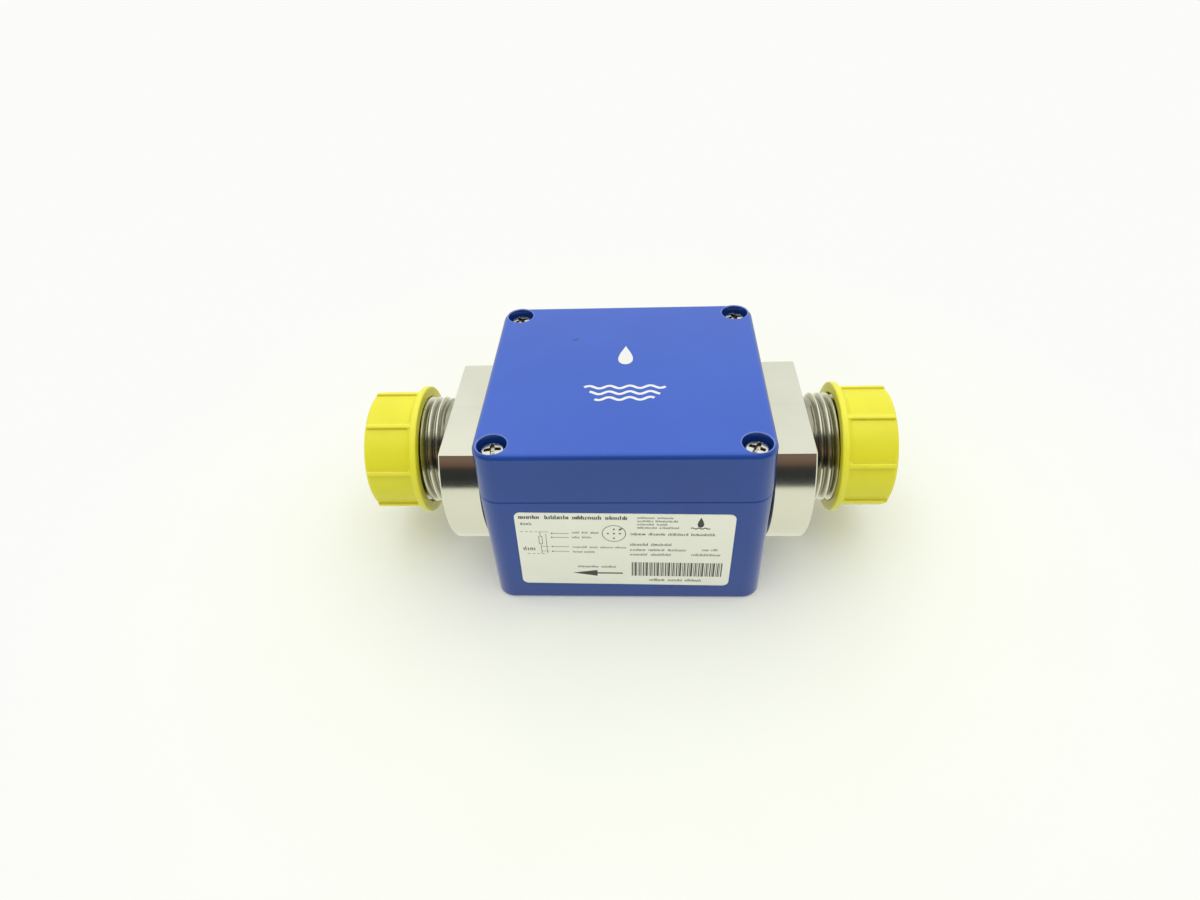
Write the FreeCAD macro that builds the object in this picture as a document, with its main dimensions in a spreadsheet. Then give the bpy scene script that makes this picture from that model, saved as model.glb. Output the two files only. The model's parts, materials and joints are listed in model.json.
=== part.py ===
import FreeCAD, Part
import math
import os
import re
import Sketcher

# Electromagnetic flow sensor: die-cast box, two steel pipe fittings, protective caps and the
# measuring system inside.  Millimetres.  +X is the inlet side of the pipe, +Y the connector side,
# +Z up, and the origin is the centre of the box's underside.

V = FreeCAD.Vector
doc = FreeCAD.newDocument("FlowSensor")

SIZES = [
    # box
    ("box_length", 80.0, "outside length along the pipe, at the seam"),
    ("box_width", 75.0, "outside width across the pipe, at the seam"),
    ("box_corner", 6.0, "corner radius in plan"),
    ("draft", 0.6, "draft of the cast walls, degrees"),
    ("box_wall", 4.0, "wall at the seam"),
    ("box_floor", 3.0, "floor of the base"),
    ("lid_roof", 3.0, "roof of the lid"),
    ("roof_gap", 0.8, "roof over the tallest part of the board"),
    ("roof_round", 1.6, "rounding of the lid's upper edge"),
    ("floor_round", 1.0, "rounding of the base's lower edge"),
    ("seam_cover", 1.6, "joint between base and lid over the top of the tube"),
    ("seam_chamfer", 0.25, "chamfer of both parts at the seam"),
    ("overshoot", 1.0, "how far a cut runs past the material it cuts"),
    # screws in general
    ("thread_gap", 0.05, "radial gap drawn in a tapped hole"),
    ("screw_gap", 0.25, "radial gap of an M4 screw in a plain hole"),
    ("tip_share", 0.4, "share of a screw's radius that its point takes off"),
    ("head_edge_share", 0.7, "height of a head's edge over the height of the head"),
    ("head_top_share", 0.86, "radius of a head's top over the radius of the head"),
    ("recess_share", 0.62, "half span of a cross recess over the radius of the head"),
    ("recess_width", 1.0, "width of a cross recess"),
    ("recess_depth", 1.4, "depth of a cross recess"),
    # lid screws and their columns
    ("screw_inset_x", 5.6, "lid screw to outer wall, along the pipe"),
    ("screw_inset_y", 5.3, "lid screw to outer wall, across the pipe"),
    ("column_radius", 5.6, "cast column round a lid screw"),
    ("column_turn", 1.0, "rounding beside a column"),
    ("sink_radius", 4.2, "counterbore over a lid screw"),
    ("sink_depth", 4.4, "depth of that counterbore"),
    ("lid_screw_radius", 2.0, "M4 lid screw"),
    ("lid_screw_grip", 10.1, "length of a lid screw inside the base"),
    ("lid_head_radius", 3.4, "head of a lid screw"),
    ("lid_head_height", 2.7, "height of that head"),
    ("tapping_spare", 2.4, "tapped hole past the end of its screw"),
    # lid seal
    ("seal_inset", 2.4, "middle of the seal to the outer wall"),
    ("seal_bend", 3.8, "middle of the seal to a lid screw"),
    ("seal_turn", 1.5, "middle of the seal, turn beside a column"),
    ("groove_width", 1.8, "groove in the lid"),
    ("groove_depth", 2.4, "depth of the groove"),
    ("tongue_width", 1.4, "tongue on the base"),
    ("tongue_height", 1.0, "height of the tongue"),
    # pipe line
    ("bore_radius", 9.5, "clear bore of tube and fittings"),
    ("tube_wall", 1.5, "wall of the measuring tube"),
    ("wall_hole_gap", 0.3, "radial gap round the tube in the box wall"),
    ("socket_gap", 0.1, "radial gap round the tube in a fitting"),
    ("socket_depth", 8.0, "socket for the tube in a fitting"),
    ("tube_end_gap", 0.2, "tube end to socket floor"),
    ("pad_depth", 0.6, "machined seat for the flange gasket"),
    ("gasket_step", 1.35, "flange gasket inside the flange's edge"),
    ("gasket_thickness", 2.0, "flange gasket"),
    ("gasket_top_gap", 0.4, "flange gasket to the seam"),
    ("gasket_hole_gap", 0.15, "flange gasket to the tube"),
    ("flange_radius", 27.75, "flange of a fitting"),
    ("flange_lift", 0.25, "flange over the surface the box stands on"),
    ("flange_thickness", 11.6, "flange of a fitting"),
    ("flange_flat", 16.5, "milled flat over the pipe's axis"),
    ("flange_chamfer", 0.4, "edge of the flange"),
    ("thread_radius", 16.62, "G1 male thread, over the crests"),
    ("thread_length", 20.0, "from the relief to the end of the thread"),
    ("thread_chamfer", 1.3, "lead-in of the thread"),
    ("relief_depth", 1.42, "thread relief beside the flange"),
    ("relief_length", 2.0, "thread relief with its slope"),
    ("relief_slope", 0.7, "length of the slope up to the thread"),
    ("mouth_chamfer", 0.8, "edge of the bore at the pipe end"),
    ("ring_groove_start", 2.0, "O-ring groove from the flange's inner face"),
    ("ring_groove_length", 2.6, "O-ring groove"),
    ("ring_gap", 0.05, "O-ring to the walls of its groove"),
    ("tube_ring_section", 1.0, "O-ring on the tube, radius of the section"),
    # screws that hold a flange from inside the box
    ("flange_screw_circle", 19.0, "radius of the screw circle"),
    ("flange_screw_radius", 2.0, "M4 flange screw"),
    ("flange_screw_grip", 8.0, "screw length inside the flange"),
    ("flange_screw_head", 3.5, "head radius"),
    ("flange_screw_head_height", 2.6, "head height"),
    # protective caps
    ("cap_gap", 0.68, "inside of a cap to the thread's crests, radially"),
    ("cap_wall", 0.95, "wall of a cap"),
    ("cap_rib_height", 0.6, "rib over the wall"),
    ("cap_rib_width", 1.4, "width of a rib"),
    ("cap_rib_count", 8.0, "ribs round a cap"),
    ("cap_rib_end", 0.9, "rib end to the closed face"),
    ("cap_lip_height", 1.65, "collar at the open end, over the wall"),
    ("cap_lip_width", 2.0, "collar at the open end"),
    ("cap_length", 16.4, "open end to closed face"),
    ("cap_floor", 2.2, "closed face"),
    ("cap_round", 1.2, "edge of the closed face"),
    ("cap_seat_gap", 1.0, "closed face to the end of the thread"),
    ("inlet_cap_turn", 24.0, "how far the inlet cap is turned, degrees"),
    ("outlet_cap_turn", 17.0, "how far the outlet cap is turned, degrees"),
    # electrodes
    ("electrode_radius", 1.5, "electrode pin"),
    ("electrode_recess", 0.05, "electrode tip behind the bore"),
    ("electrode_tail", 2.0, "electrode end past the yoke"),
    ("electrode_gap", 0.1, "radial gap round the pin"),
    ("electrode_seat", 0.3, "depth of the spot face on the tube"),
    ("electrode_ring_section", 0.85, "electrode O-ring, radius of the section"),
    ("shoulder_radius", 3.4, "shoulder of an electrode"),
    ("shoulder_thickness", 1.5, "shoulder of an electrode"),
    ("shoulder_gap", 0.15, "shoulder to its pocket in the holder"),
    ("holder_length", 15.0, "electrode holder along the pipe"),
    ("holder_height", 14.0, "electrode holder, upright"),
    ("holder_gap", 0.05, "holder and pole shoes to the tube"),
    # magnet system
    ("yoke_room", 15.5, "outside of the yoke to the box's outer wall"),
    ("yoke_length", 24.0, "yoke along the pipe"),
    ("yoke_strip", 1.5, "thickness of the strip"),
    ("yoke_bend", 3.5, "outer bend radius"),
    ("yoke_window", 4.0, "hole for an electrode"),
    ("yoke_window_gap", 0.4, "electrode holder to the yoke's leg"),
    ("shoe_thickness", 1.5, "pole shoe"),
    ("shoe_length", 18.0, "pole shoe along the pipe"),
    ("shoe_half_width", 8.0, "pole shoe beside the axis"),
    ("core_radius", 4.0, "core of a pole"),
    ("coil_room", 4.95, "pole shoe to the yoke's strip"),
    ("pole_screw_radius", 1.5, "M3 countersunk pole screw"),
    ("pole_screw_gap", 0.1, "radial gap of a pole screw in the yoke"),
    ("pole_screw_head", 2.9, "head of a pole screw"),
    ("pole_screw_length", 4.5, "length with the head"),
    ("pole_screw_spare", 0.3, "tapped hole past the end of the pole screw"),
    ("pole_slot_length", 4.0, "slot in a pole screw's head"),
    ("pole_slot_width", 0.7, "slot in a pole screw's head"),
    ("pole_slot_depth", 0.7, "slot in a pole screw's head"),
    ("pole_slot_corner", 0.2, "slot in a pole screw's head"),
    ("bobbin_gap", 0.1, "bobbin to its neighbours"),
    ("bobbin_wall", 0.7, "wall of a bobbin"),
    ("bobbin_radius", 11.0, "flange of a bobbin"),
    ("coil_gap", 0.05, "winding to its bobbin"),
    ("coil_margin", 0.5, "winding below the bobbin's rim"),
    ("rib_thickness", 2.4, "cast rib under the yoke"),
    ("rib_spread", 9.0, "cast rib from the middle"),
    # circuit board
    ("board_end_gap", 6.0, "board to the box wall, along the pipe"),
    ("board_side_gap", 6.5, "board to the box wall, across the pipe"),
    ("board_thickness", 1.6, ""),
    ("board_corner", 2.0, ""),
    ("spacer_height", 2.0, "board over the yoke"),
    ("spacer_radius", 2.4, ""),
    ("spacer_x", 8.5, "board screw from the middle"),
    ("spacer_inset", 6.5, "board screw to the outside of the yoke"),
    ("board_screw_radius", 1.2, "M2.5 board screw"),
    ("board_hole_gap", 0.2, "radial gap of a board screw in the board"),
    ("board_screw_head", 2.2, "head radius"),
    ("board_screw_head_height", 1.6, "head height"),
    ("board_screw_length", 4.8, "length under the head"),
    ("board_recess_width", 0.6, "cross recess of a board screw"),
    ("board_recess_depth", 0.7, "cross recess of a board screw"),
    ("chip_corner", 0.25, "corner radius of chips and header, in plan"),
    ("processor_side", 12.0, "flat-pack chip"),
    ("processor_height", 1.4, ""),
    ("processor_inset", 9.0, "middle of the chip to the board's end"),
    ("amplifier_length", 6.2, "small-outline chip"),
    ("amplifier_width", 5.0, "over its legs"),
    ("amplifier_height", 1.5, ""),
    ("amplifier_inset", 10.0, "middle of the chips to the board's end"),
    ("amplifier_y", 9.0, "spread across the board"),
    ("capacitor_radius", 2.0, "tantalum can"),
    ("capacitor_height", 2.6, ""),
    ("capacitor_end_inset", 4.5, "middle of a can to the board's end"),
    ("capacitor_side_inset", 10.0, "middle of a can to the board's side"),
    ("header_length", 16.0, "lead header under the board"),
    ("header_width", 3.4, ""),
    ("header_height", 6.5, ""),
    ("header_inset", 2.4, "middle of the header to the board's side"),
    # M12 receptacle
    ("plug_drop", 6.0, "receptacle under the pipe's axis"),
    ("plug_pad_radius", 11.2, "machined seat for the receptacle"),
    ("plug_pad_depth", 0.5, "machined seat for the receptacle"),
    ("plug_seal_thickness", 1.0, ""),
    ("plug_seal_radius", 9.6, ""),
    ("plug_hex", 18.0, "across the flats of the shell"),
    ("plug_hex_thickness", 3.0, ""),
    ("plug_thread_radius", 6.0, "M12 thread"),
    ("plug_thread_length", 9.0, ""),
    ("plug_stem_radius", 8.0, "M16 stem through the box wall"),
    ("plug_stem_gap", 0.1, "radial gap round the stem"),
    ("plug_stem_length", 11.0, "from the hex to the stem's end"),
    ("plug_mouth_radius", 4.8, "inside of the M12 thread"),
    ("plug_cavity_radius", 6.2, "inside of the stem"),
    ("plug_key_width", 1.4, "coding key"),
    ("plug_key_height", 0.6, "coding key"),
    ("plug_key_root", 0.3, "coding key inside the wall"),
    ("plug_nut_hex", 20.0, "across the flats of the nut"),
    ("plug_nut_thickness", 3.5, ""),
    ("insert_gap", 0.1, "insert to shell"),
    ("insert_face", 0.5, "insert face past the hex"),
    ("pin_radius", 0.5, "contact pin"),
    ("pin_tip", 0.25, "chamfer of a pin"),
    ("pin_circle", 2.65, "circle of the four outer pins"),
    ("pin_reach", 7.0, "pins out of the insert's face"),
    ("pin_tail", 3.0, "solder tails behind the insert"),
    ("pin_gap", 0.02, "radial gap round a pin"),
    # label
    ("label_length", 60.5, ""),
    ("label_height", 29.9, ""),
    ("label_corner", 1.8, ""),
    ("label_thickness", 0.15, ""),
    ("label_x", -0.35, "middle of the label"),
    ("label_rise", 1.3, "middle of the label over the middle of the base"),
    ("label_tilt", 1.0, "how far the label is turned, degrees"),
]

# Sizes that follow from those above.
DERIVED = [
    ("half_length", "box_length / 2"),
    ("half_width", "box_width / 2"),
    ("tube_radius", "bore_radius + tube_wall"),
    ("axis_height", "flange_radius + flange_lift"),
    ("seam_height", "axis_height + tube_radius + seam_cover"),
    ("tongue_top", "seam_height + tongue_height"),
    ("groove_roof", "seam_height + groove_depth"),
    ("screw_x", "half_length - screw_inset_x"),
    ("screw_y", "half_width - screw_inset_y"),
    ("pad_x", "half_length - pad_depth"),
    ("flange_x", "pad_x + gasket_thickness"),
    ("shoulder_x", "flange_x + flange_thickness"),
    ("relief_x", "shoulder_x + relief_length"),
    ("relief_radius", "thread_radius - relief_depth"),
    ("thread_end_x", "relief_x + thread_length"),
    ("socket_x", "flange_x + socket_depth"),
    ("socket_radius", "tube_radius + socket_gap"),
    ("tube_end_x", "socket_x - tube_end_gap"),
    ("ring_groove_x", "flange_x + ring_groove_start"),
    ("ring_groove_end_x", "ring_groove_x + ring_groove_length"),
    ("tube_ring_radius", "tube_radius + ring_gap + tube_ring_section"),
    ("ring_groove_radius", "tube_ring_radius + tube_ring_section + ring_gap"),
    ("gasket_radius", "flange_radius - gasket_step"),
    ("flange_screw_hole", "flange_screw_radius + screw_gap"),
    ("cap_bore", "thread_radius + cap_gap"),
    ("cap_outside", "cap_bore + cap_wall"),
    ("cap_rib_radius", "cap_outside + cap_rib_height"),
    ("cap_lip_radius", "cap_outside + cap_lip_height"),
    ("cap_seat_x", "thread_end_x + cap_seat_gap"),
    ("cap_face_x", "cap_seat_x + cap_floor"),
    ("cap_open_x", "cap_face_x - cap_length"),
    ("shoe_under", "tube_radius + holder_gap"),
    ("shoe_top", "shoe_under + shoe_thickness"),
    ("yoke_inside", "shoe_top + coil_room"),
    ("yoke_half_height", "yoke_inside + yoke_strip"),
    ("yoke_half_width", "half_width - yoke_room"),
    ("yoke_leg", "yoke_half_width - yoke_strip"),
    ("yoke_under", "axis_height - yoke_half_height"),
    ("yoke_top", "axis_height + yoke_half_height"),
    ("pole_screw_seat", "yoke_half_height - pole_screw_head + pole_screw_radius"),
    ("bobbin_low", "shoe_top + bobbin_gap"),
    ("bobbin_high", "yoke_inside - bobbin_gap"),
    ("bobbin_bore", "core_radius + bobbin_gap"),
    ("electrode_hole", "electrode_radius + electrode_gap"),
    ("electrode_flat", "tube_radius - electrode_seat"),
    ("electrode_shoulder", "electrode_flat + 2 * electrode_ring_section"),
    ("electrode_back", "electrode_shoulder + shoulder_thickness"),
    ("electrode_reach", "yoke_half_width + electrode_tail"),
    ("board_half_length", "half_length - box_wall - board_end_gap"),
    ("board_half_width", "half_width - box_wall - board_side_gap"),
    ("board_under", "yoke_top + spacer_height"),
    ("board_top", "board_under + board_thickness"),
    ("spacer_y", "yoke_half_width - spacer_inset"),
    ("board_hole_radius", "board_screw_radius + board_hole_gap"),
    ("capacitor_x", "board_half_length - capacitor_end_inset"),
    ("capacitor_y", "board_half_width - capacitor_side_inset"),
    ("roof_under", "board_top + capacitor_height + roof_gap"),
    ("box_height", "roof_under + lid_roof"),
    ("sink_floor", "box_height - sink_depth"),
    ("lid_screw_reach", "sink_floor - seam_height + lid_screw_grip"),
    ("plug_height", "axis_height - plug_drop"),
    ("plug_pad_y", "half_width - plug_pad_depth"),
    ("plug_hex_y", "plug_pad_y + plug_seal_thickness"),
    ("plug_face_y", "plug_hex_y + plug_hex_thickness"),
    ("plug_hole_radius", "plug_stem_radius + plug_stem_gap"),
    ("insert_front_y", "plug_face_y + insert_face"),
    ("insert_back_y", "plug_hex_y - plug_stem_length"),
    ("insert_length", "insert_front_y - insert_back_y"),
    ("label_z", "seam_height / 2 + label_rise"),
]

ALIASES = {entry[0] for entry in SIZES + DERIVED}

LID_SCREW_TURNS = (20, 62, 35, 8)
FLANGE_SCREW_ANGLES = (180, 240, 300, 360)
PIN_ANGLES = (45, 135, 225, 315)

sheet = doc.addObject("Spreadsheet::Sheet", "Sizes")
for row, (alias, number, note) in enumerate(SIZES, start=1):
    sheet.set(f"A{row}", alias)
    sheet.set(f"B{row}", str(number))
    sheet.set(f"C{row}", note)
    sheet.setAlias(f"B{row}", alias)
for row, (alias, formula) in enumerate(DERIVED, start=len(SIZES) + 2):
    sheet.set(f"A{row}", alias)
    sheet.set(f"B{row}", "=" + formula)
    sheet.setAlias(f"B{row}", alias)
doc.recompute()


def in_sheet(word):
    return "Sizes." + word[0] if word[0] in ALIASES else word[0]


def qualified(expression):
    """Write 'box_wall / 2' as 'Sizes.box_wall / 2'."""
    return re.sub(r"[a-z_]+", in_sheet, expression)


def value(expression):
    """The present number of an expression on the sheet's cells."""
    result = sheet.evalExpression(qualified(expression))
    return float(getattr(result, "Value", result))


def bind(owner, target, expression):
    owner.setExpression(target, qualified(expression))


# ---------------------------------------------------------------- sketches
def new_body(label):
    body = doc.addObject("PartDesign::Body", label)
    body.Label = label
    return body


def new_sketch(body, plane, level="0"):
    """A sketch on one of the body's own origin planes, raised by level along the plane's normal."""
    sketch = body.newObject("Sketcher::SketchObject", body.Label + "_sketch")
    role = plane + "_Plane"
    support = [feature for feature in body.Origin.OriginFeatures if feature.Role == role][0]
    sketch.AttachmentSupport = [(support, "")]
    sketch.MapMode = "FlatFace"
    if level != "0":
        bind(sketch, "AttachmentOffset.Base.z", level)
    return sketch


def dimension(sketch, kind, references, expression):
    number = value(expression)
    index = sketch.addConstraint(Sketcher.Constraint(kind, *references, number))
    bind(sketch, f"Constraints[{index}]", expression)


def locate(sketch, item, point, x, y):
    """Dimension a point from the sketch's origin, or put it on an axis where that is zero."""
    for kind, axis, expression in (("DistanceX", -2, x), ("DistanceY", -1, y)):
        if expression == "0":
            sketch.addConstraint(Sketcher.Constraint("PointOnObject", item, point, axis))
        else:
            dimension(sketch, kind, (-1, 1, item, point), expression)


def draw_polygon(sketch, points):
    """A closed outline of straight lines through points given as pairs of expressions."""
    first = sketch.GeometryCount
    corners = [V(value(x), value(y), 0) for x, y in points]
    count = len(points)
    for index in range(count):
        sketch.addGeometry(Part.LineSegment(corners[index], corners[(index + 1) % count]), False)
    for index in range(count):
        following = first + (index + 1) % count
        sketch.addConstraint(Sketcher.Constraint("Coincident", first + index, 2, following, 1))
    for index, (x, y) in enumerate(points):
        locate(sketch, first + index, 1, x, y)


def draw_circle(sketch, x, y, radius):
    centre = V(value(x), value(y), 0)
    item = sketch.addGeometry(Part.Circle(centre, V(0, 0, 1), value(radius)), False)
    dimension(sketch, "Radius", (item,), radius)
    if x == "0" and y == "0":
        sketch.addConstraint(Sketcher.Constraint("Coincident", item, 3, -1, 1))
    else:
        locate(sketch, item, 3, x, y)


def draw_arc(sketch, centre, start, end):
    """An arc run anticlockwise about centre from one point to another; gives its number."""
    first = math.atan2(start.y - centre.y, start.x - centre.x)
    last = math.atan2(end.y - centre.y, end.x - centre.x)
    if last <= first:
        last += 2 * math.pi
    circle = Part.Circle(centre, V(0, 0, 1), (start - centre).Length)
    return sketch.addGeometry(Part.ArcOfCircle(circle, first, last), False)


def draw_rounded_rectangle(sketch, half_x, half_y, radius, x="0", y="0"):
    """Four sides and four equal tangent corners about (x, y)."""
    hx, hy, r = value(half_x), value(half_y), value(radius)
    mx, my = value(x), value(y)
    first = sketch.GeometryCount
    sides = [
        ((mx - hx + r, my - hy), (mx + hx - r, my - hy)),
        ((mx + hx, my - hy + r), (mx + hx, my + hy - r)),
        ((mx + hx - r, my + hy), (mx - hx + r, my + hy)),
        ((mx - hx, my + hy - r), (mx - hx, my - hy + r)),
    ]
    for start, end in sides:
        sketch.addGeometry(Part.LineSegment(V(*start, 0), V(*end, 0)), False)
    middles = [(hx - r, r - hy), (hx - r, hy - r), (r - hx, hy - r), (r - hx, r - hy)]
    for index, (cx, cy) in enumerate(middles):
        start, end = V(*sides[index][1], 0), V(*sides[(index + 1) % 4][0], 0)
        draw_arc(sketch, V(mx + cx, my + cy, 0), start, end)
    for index in range(4):
        side, corner = first + index, first + 4 + index
        sketch.addConstraint(Sketcher.Constraint("Tangent", side, 2, corner, 1))
        sketch.addConstraint(Sketcher.Constraint("Tangent", corner, 2, first + (index + 1) % 4, 1))
        level = "Horizontal" if index % 2 == 0 else "Vertical"
        sketch.addConstraint(Sketcher.Constraint(level, side))
    for index in range(1, 4):
        sketch.addConstraint(Sketcher.Constraint("Equal", first + 4, first + 4 + index))
    dimension(sketch, "Radius", (first + 4,), radius)
    dimension(sketch, "DistanceX", (-1, 1, first + 1, 1), f"({x}) + ({half_x})")
    dimension(sketch, "DistanceX", (-1, 1, first + 3, 1), f"({x}) - ({half_x})")
    dimension(sketch, "DistanceY", (-1, 1, first + 2, 1), f"({y}) + ({half_y})")
    dimension(sketch, "DistanceY", (-1, 1, first, 1), f"({y}) - ({half_y})")


def draw_seal_line(sketch, inset, bend, turn):
    """A line that runs inset from the box's walls and bends inwards round the four lid screws.

    Each corner is a hollow arc about the screw between two small rounded turns.
    """
    line_x, line_y = value(f"half_length - ( {inset} )"), value(f"half_width - ( {inset} )")
    screw = V(value("screw_x"), value("screw_y"), 0)
    hollow, small = value(bend), value(turn)
    beside = (line_x - small, screw.y - ((hollow + small) ** 2 - (line_x - small - screw.x) ** 2) ** 0.5)
    under = (screw.x - ((hollow + small) ** 2 - (line_y - small - screw.y) ** 2) ** 0.5, line_y - small)

    first = sketch.GeometryCount
    corners = []
    for index, (sx, sy) in enumerate(((1, -1), (1, 1), (-1, 1), (-1, -1))):
        middle = V(sx * screw.x, sy * screw.y, 0)
        turns = [(V(sx * under[0], sy * under[1], 0), V(sx * under[0], sy * line_y, 0)),
                 (V(sx * beside[0], sy * beside[1], 0), V(sx * line_x, sy * beside[1], 0))]
        if index % 2:
            turns.reverse()
        touches = [middle + (centre - middle) * (hollow / (hollow + small)) for centre, foot in turns]
        corners.append((middle, turns, touches))
    for index in range(4):
        start = corners[index - 1][1][1][1]
        end = corners[index][1][0][1]
        sketch.addGeometry(Part.LineSegment(start, end), False)
    for index, (middle, turns, touches) in enumerate(corners):
        x = "screw_x" if middle.x > 0 else "-1 * screw_x"
        y = "screw_y" if middle.y > 0 else "-1 * screw_y"
        entry = draw_arc(sketch, turns[0][0], turns[0][1], touches[0])
        bite = draw_arc(sketch, middle, touches[1], touches[0])
        leave = draw_arc(sketch, turns[1][0], touches[1], turns[1][1])
        joints = [(first + index, 2, entry, 1), (entry, 2, bite, 2), (bite, 1, leave, 1),
                  (leave, 2, first + (index + 1) % 4, 1)]
        for joint in joints:
            sketch.addConstraint(Sketcher.Constraint("Tangent", *joint))
        locate(sketch, bite, 3, x, y)
        dimension(sketch, "Radius", (bite,), bend)
        dimension(sketch, "Radius", (entry,), turn)
        dimension(sketch, "Radius", (leave,), turn)
    for index, level in enumerate(("Horizontal", "Vertical", "Horizontal", "Vertical")):
        sketch.addConstraint(Sketcher.Constraint(level, first + index))
    dimension(sketch, "DistanceY", (-1, 1, first, 1), f"( {inset} ) - half_width")
    dimension(sketch, "DistanceX", (-1, 1, first + 1, 1), f"half_length - ( {inset} )")
    dimension(sketch, "DistanceY", (-1, 1, first + 2, 1), f"half_width - ( {inset} )")
    dimension(sketch, "DistanceX", (-1, 1, first + 3, 1), f"( {inset} ) - half_length")


def draw_seal_band(sketch, width):
    """Both edges of a band along the middle of the lid seal."""
    for sign in ("-", "+"):
        opposite = "+" if sign == "-" else "-"
        draw_seal_line(sketch, f"seal_inset {sign} {width} / 2", f"seal_bend {sign} {width} / 2",
                       f"seal_turn {opposite} {width} / 2")


# ---------------------------------------------------------------- features
def pad(body, sketch, length, reverse=False, both_ways=False, taper=None):
    feature = body.newObject("PartDesign::Pad", body.Label + "_pad")
    feature.Profile = sketch
    bind(feature, "Length", length)
    feature.Reversed = reverse
    if both_ways:
        feature.SideType = "Symmetric"
    if taper:
        bind(feature, "TaperAngle", taper)
    doc.recompute()
    return feature


def pocket(body, sketch, length, reverse=False, both_ways=False):
    feature = body.newObject("PartDesign::Pocket", body.Label + "_pocket")
    feature.Profile = sketch
    bind(feature, "Length", length)
    feature.Reversed = reverse
    if both_ways:
        feature.SideType = "Symmetric"
    before = body_volume(feature)
    doc.recompute()
    if not feature.Shape.Volume < before:
        raise ValueError(f"{feature.Label} cuts nothing")
    return feature


def body_volume(feature):
    base = feature.BaseFeature
    return base.Shape.Volume if base else 0.0


def revolve(body, sketch, axis, groove=False):
    kind = "PartDesign::Groove" if groove else "PartDesign::Revolution"
    feature = body.newObject(kind, body.Label + "_turned")
    feature.Profile = sketch
    feature.ReferenceAxis = (sketch, [axis])
    feature.Angle = 360.0
    doc.recompute()
    return feature


def dress(body, kind, base, edges, size):
    """A Fillet or Chamfer on the edges of base that pass the test."""
    names = [f"Edge{index}" for index, edge in enumerate(base.Shape.Edges, start=1) if edges(edge)]
    if not names:
        raise ValueError(f"{body.Label} has no edge for its {kind.lower()}")
    feature = body.newObject("PartDesign::" + kind, body.Label + "_" + kind.lower())
    feature.Base = (base, names)
    bind(feature, "Radius" if kind == "Fillet" else "Size", size)
    doc.recompute()
    return feature


def lying_at(letter, expression):
    """Test for edges that lie wholly in one plane across X, Y or Z."""
    level, closeness = value(expression), 0.01

    def lies_there(edge):
        ends = (getattr(edge.BoundBox, letter + "Min"), getattr(edge.BoundBox, letter + "Max"))
        return all(abs(end - level) < closeness for end in ends)

    return lies_there


def place(item, x="0", y="0", z="0", rotation=None):
    """Set the Placement from expressions, with a fixed turn first."""
    if rotation:
        item.Placement = FreeCAD.Placement(V(0, 0, 0), rotation)
    for letter, expression in (("x", x), ("y", y), ("z", z)):
        if expression != "0":
            bind(item, "Placement.Base." + letter, expression)


def group(label, pattern, places, rotations=None):
    """One node of separate, identical solids: links to one body, gathered in a compound."""
    links = []
    for index, (x, y, z) in enumerate(places):
        link = doc.addObject("App::Link", f"{label}_{index + 1}")
        link.setLink(pattern)
        place(link, x, y, z, rotations[index] if rotations else None)
        links.append(link)
    compound = doc.addObject("Part::Compound", label)
    compound.Label = label
    compound.Links = links
    nodes.append(compound)
    return compound


def turned(axis, degrees):
    return FreeCAD.Rotation(axis, degrees)


X_AXIS, Y_AXIS, Z_AXIS = V(1, 0, 0), V(0, 1, 0), V(0, 0, 1)
HALF_TURN = turned(Z_AXIS, 180)
nodes = []


def corners(x, y, level="0"):
    """Four places at plus and minus x and y."""
    return [(f"{side} * {x}", f"{end} * {y}", level) for side in ("1", "-1") for end in ("1", "-1")]


def circles_at_corners(sketch, x, y, radius):
    for column, row, level in corners(x, y):
        draw_circle(sketch, column, row, radius)


def flange_screw_places():
    """Screw centres round the pipe's axis as (across, up) pairs, all below the seam."""
    places = []
    for angle in FLANGE_SCREW_ANGLES:
        places.append((f"flange_screw_circle * cos({angle} )", f"flange_screw_circle * sin({angle} )"))
    return places


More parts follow.
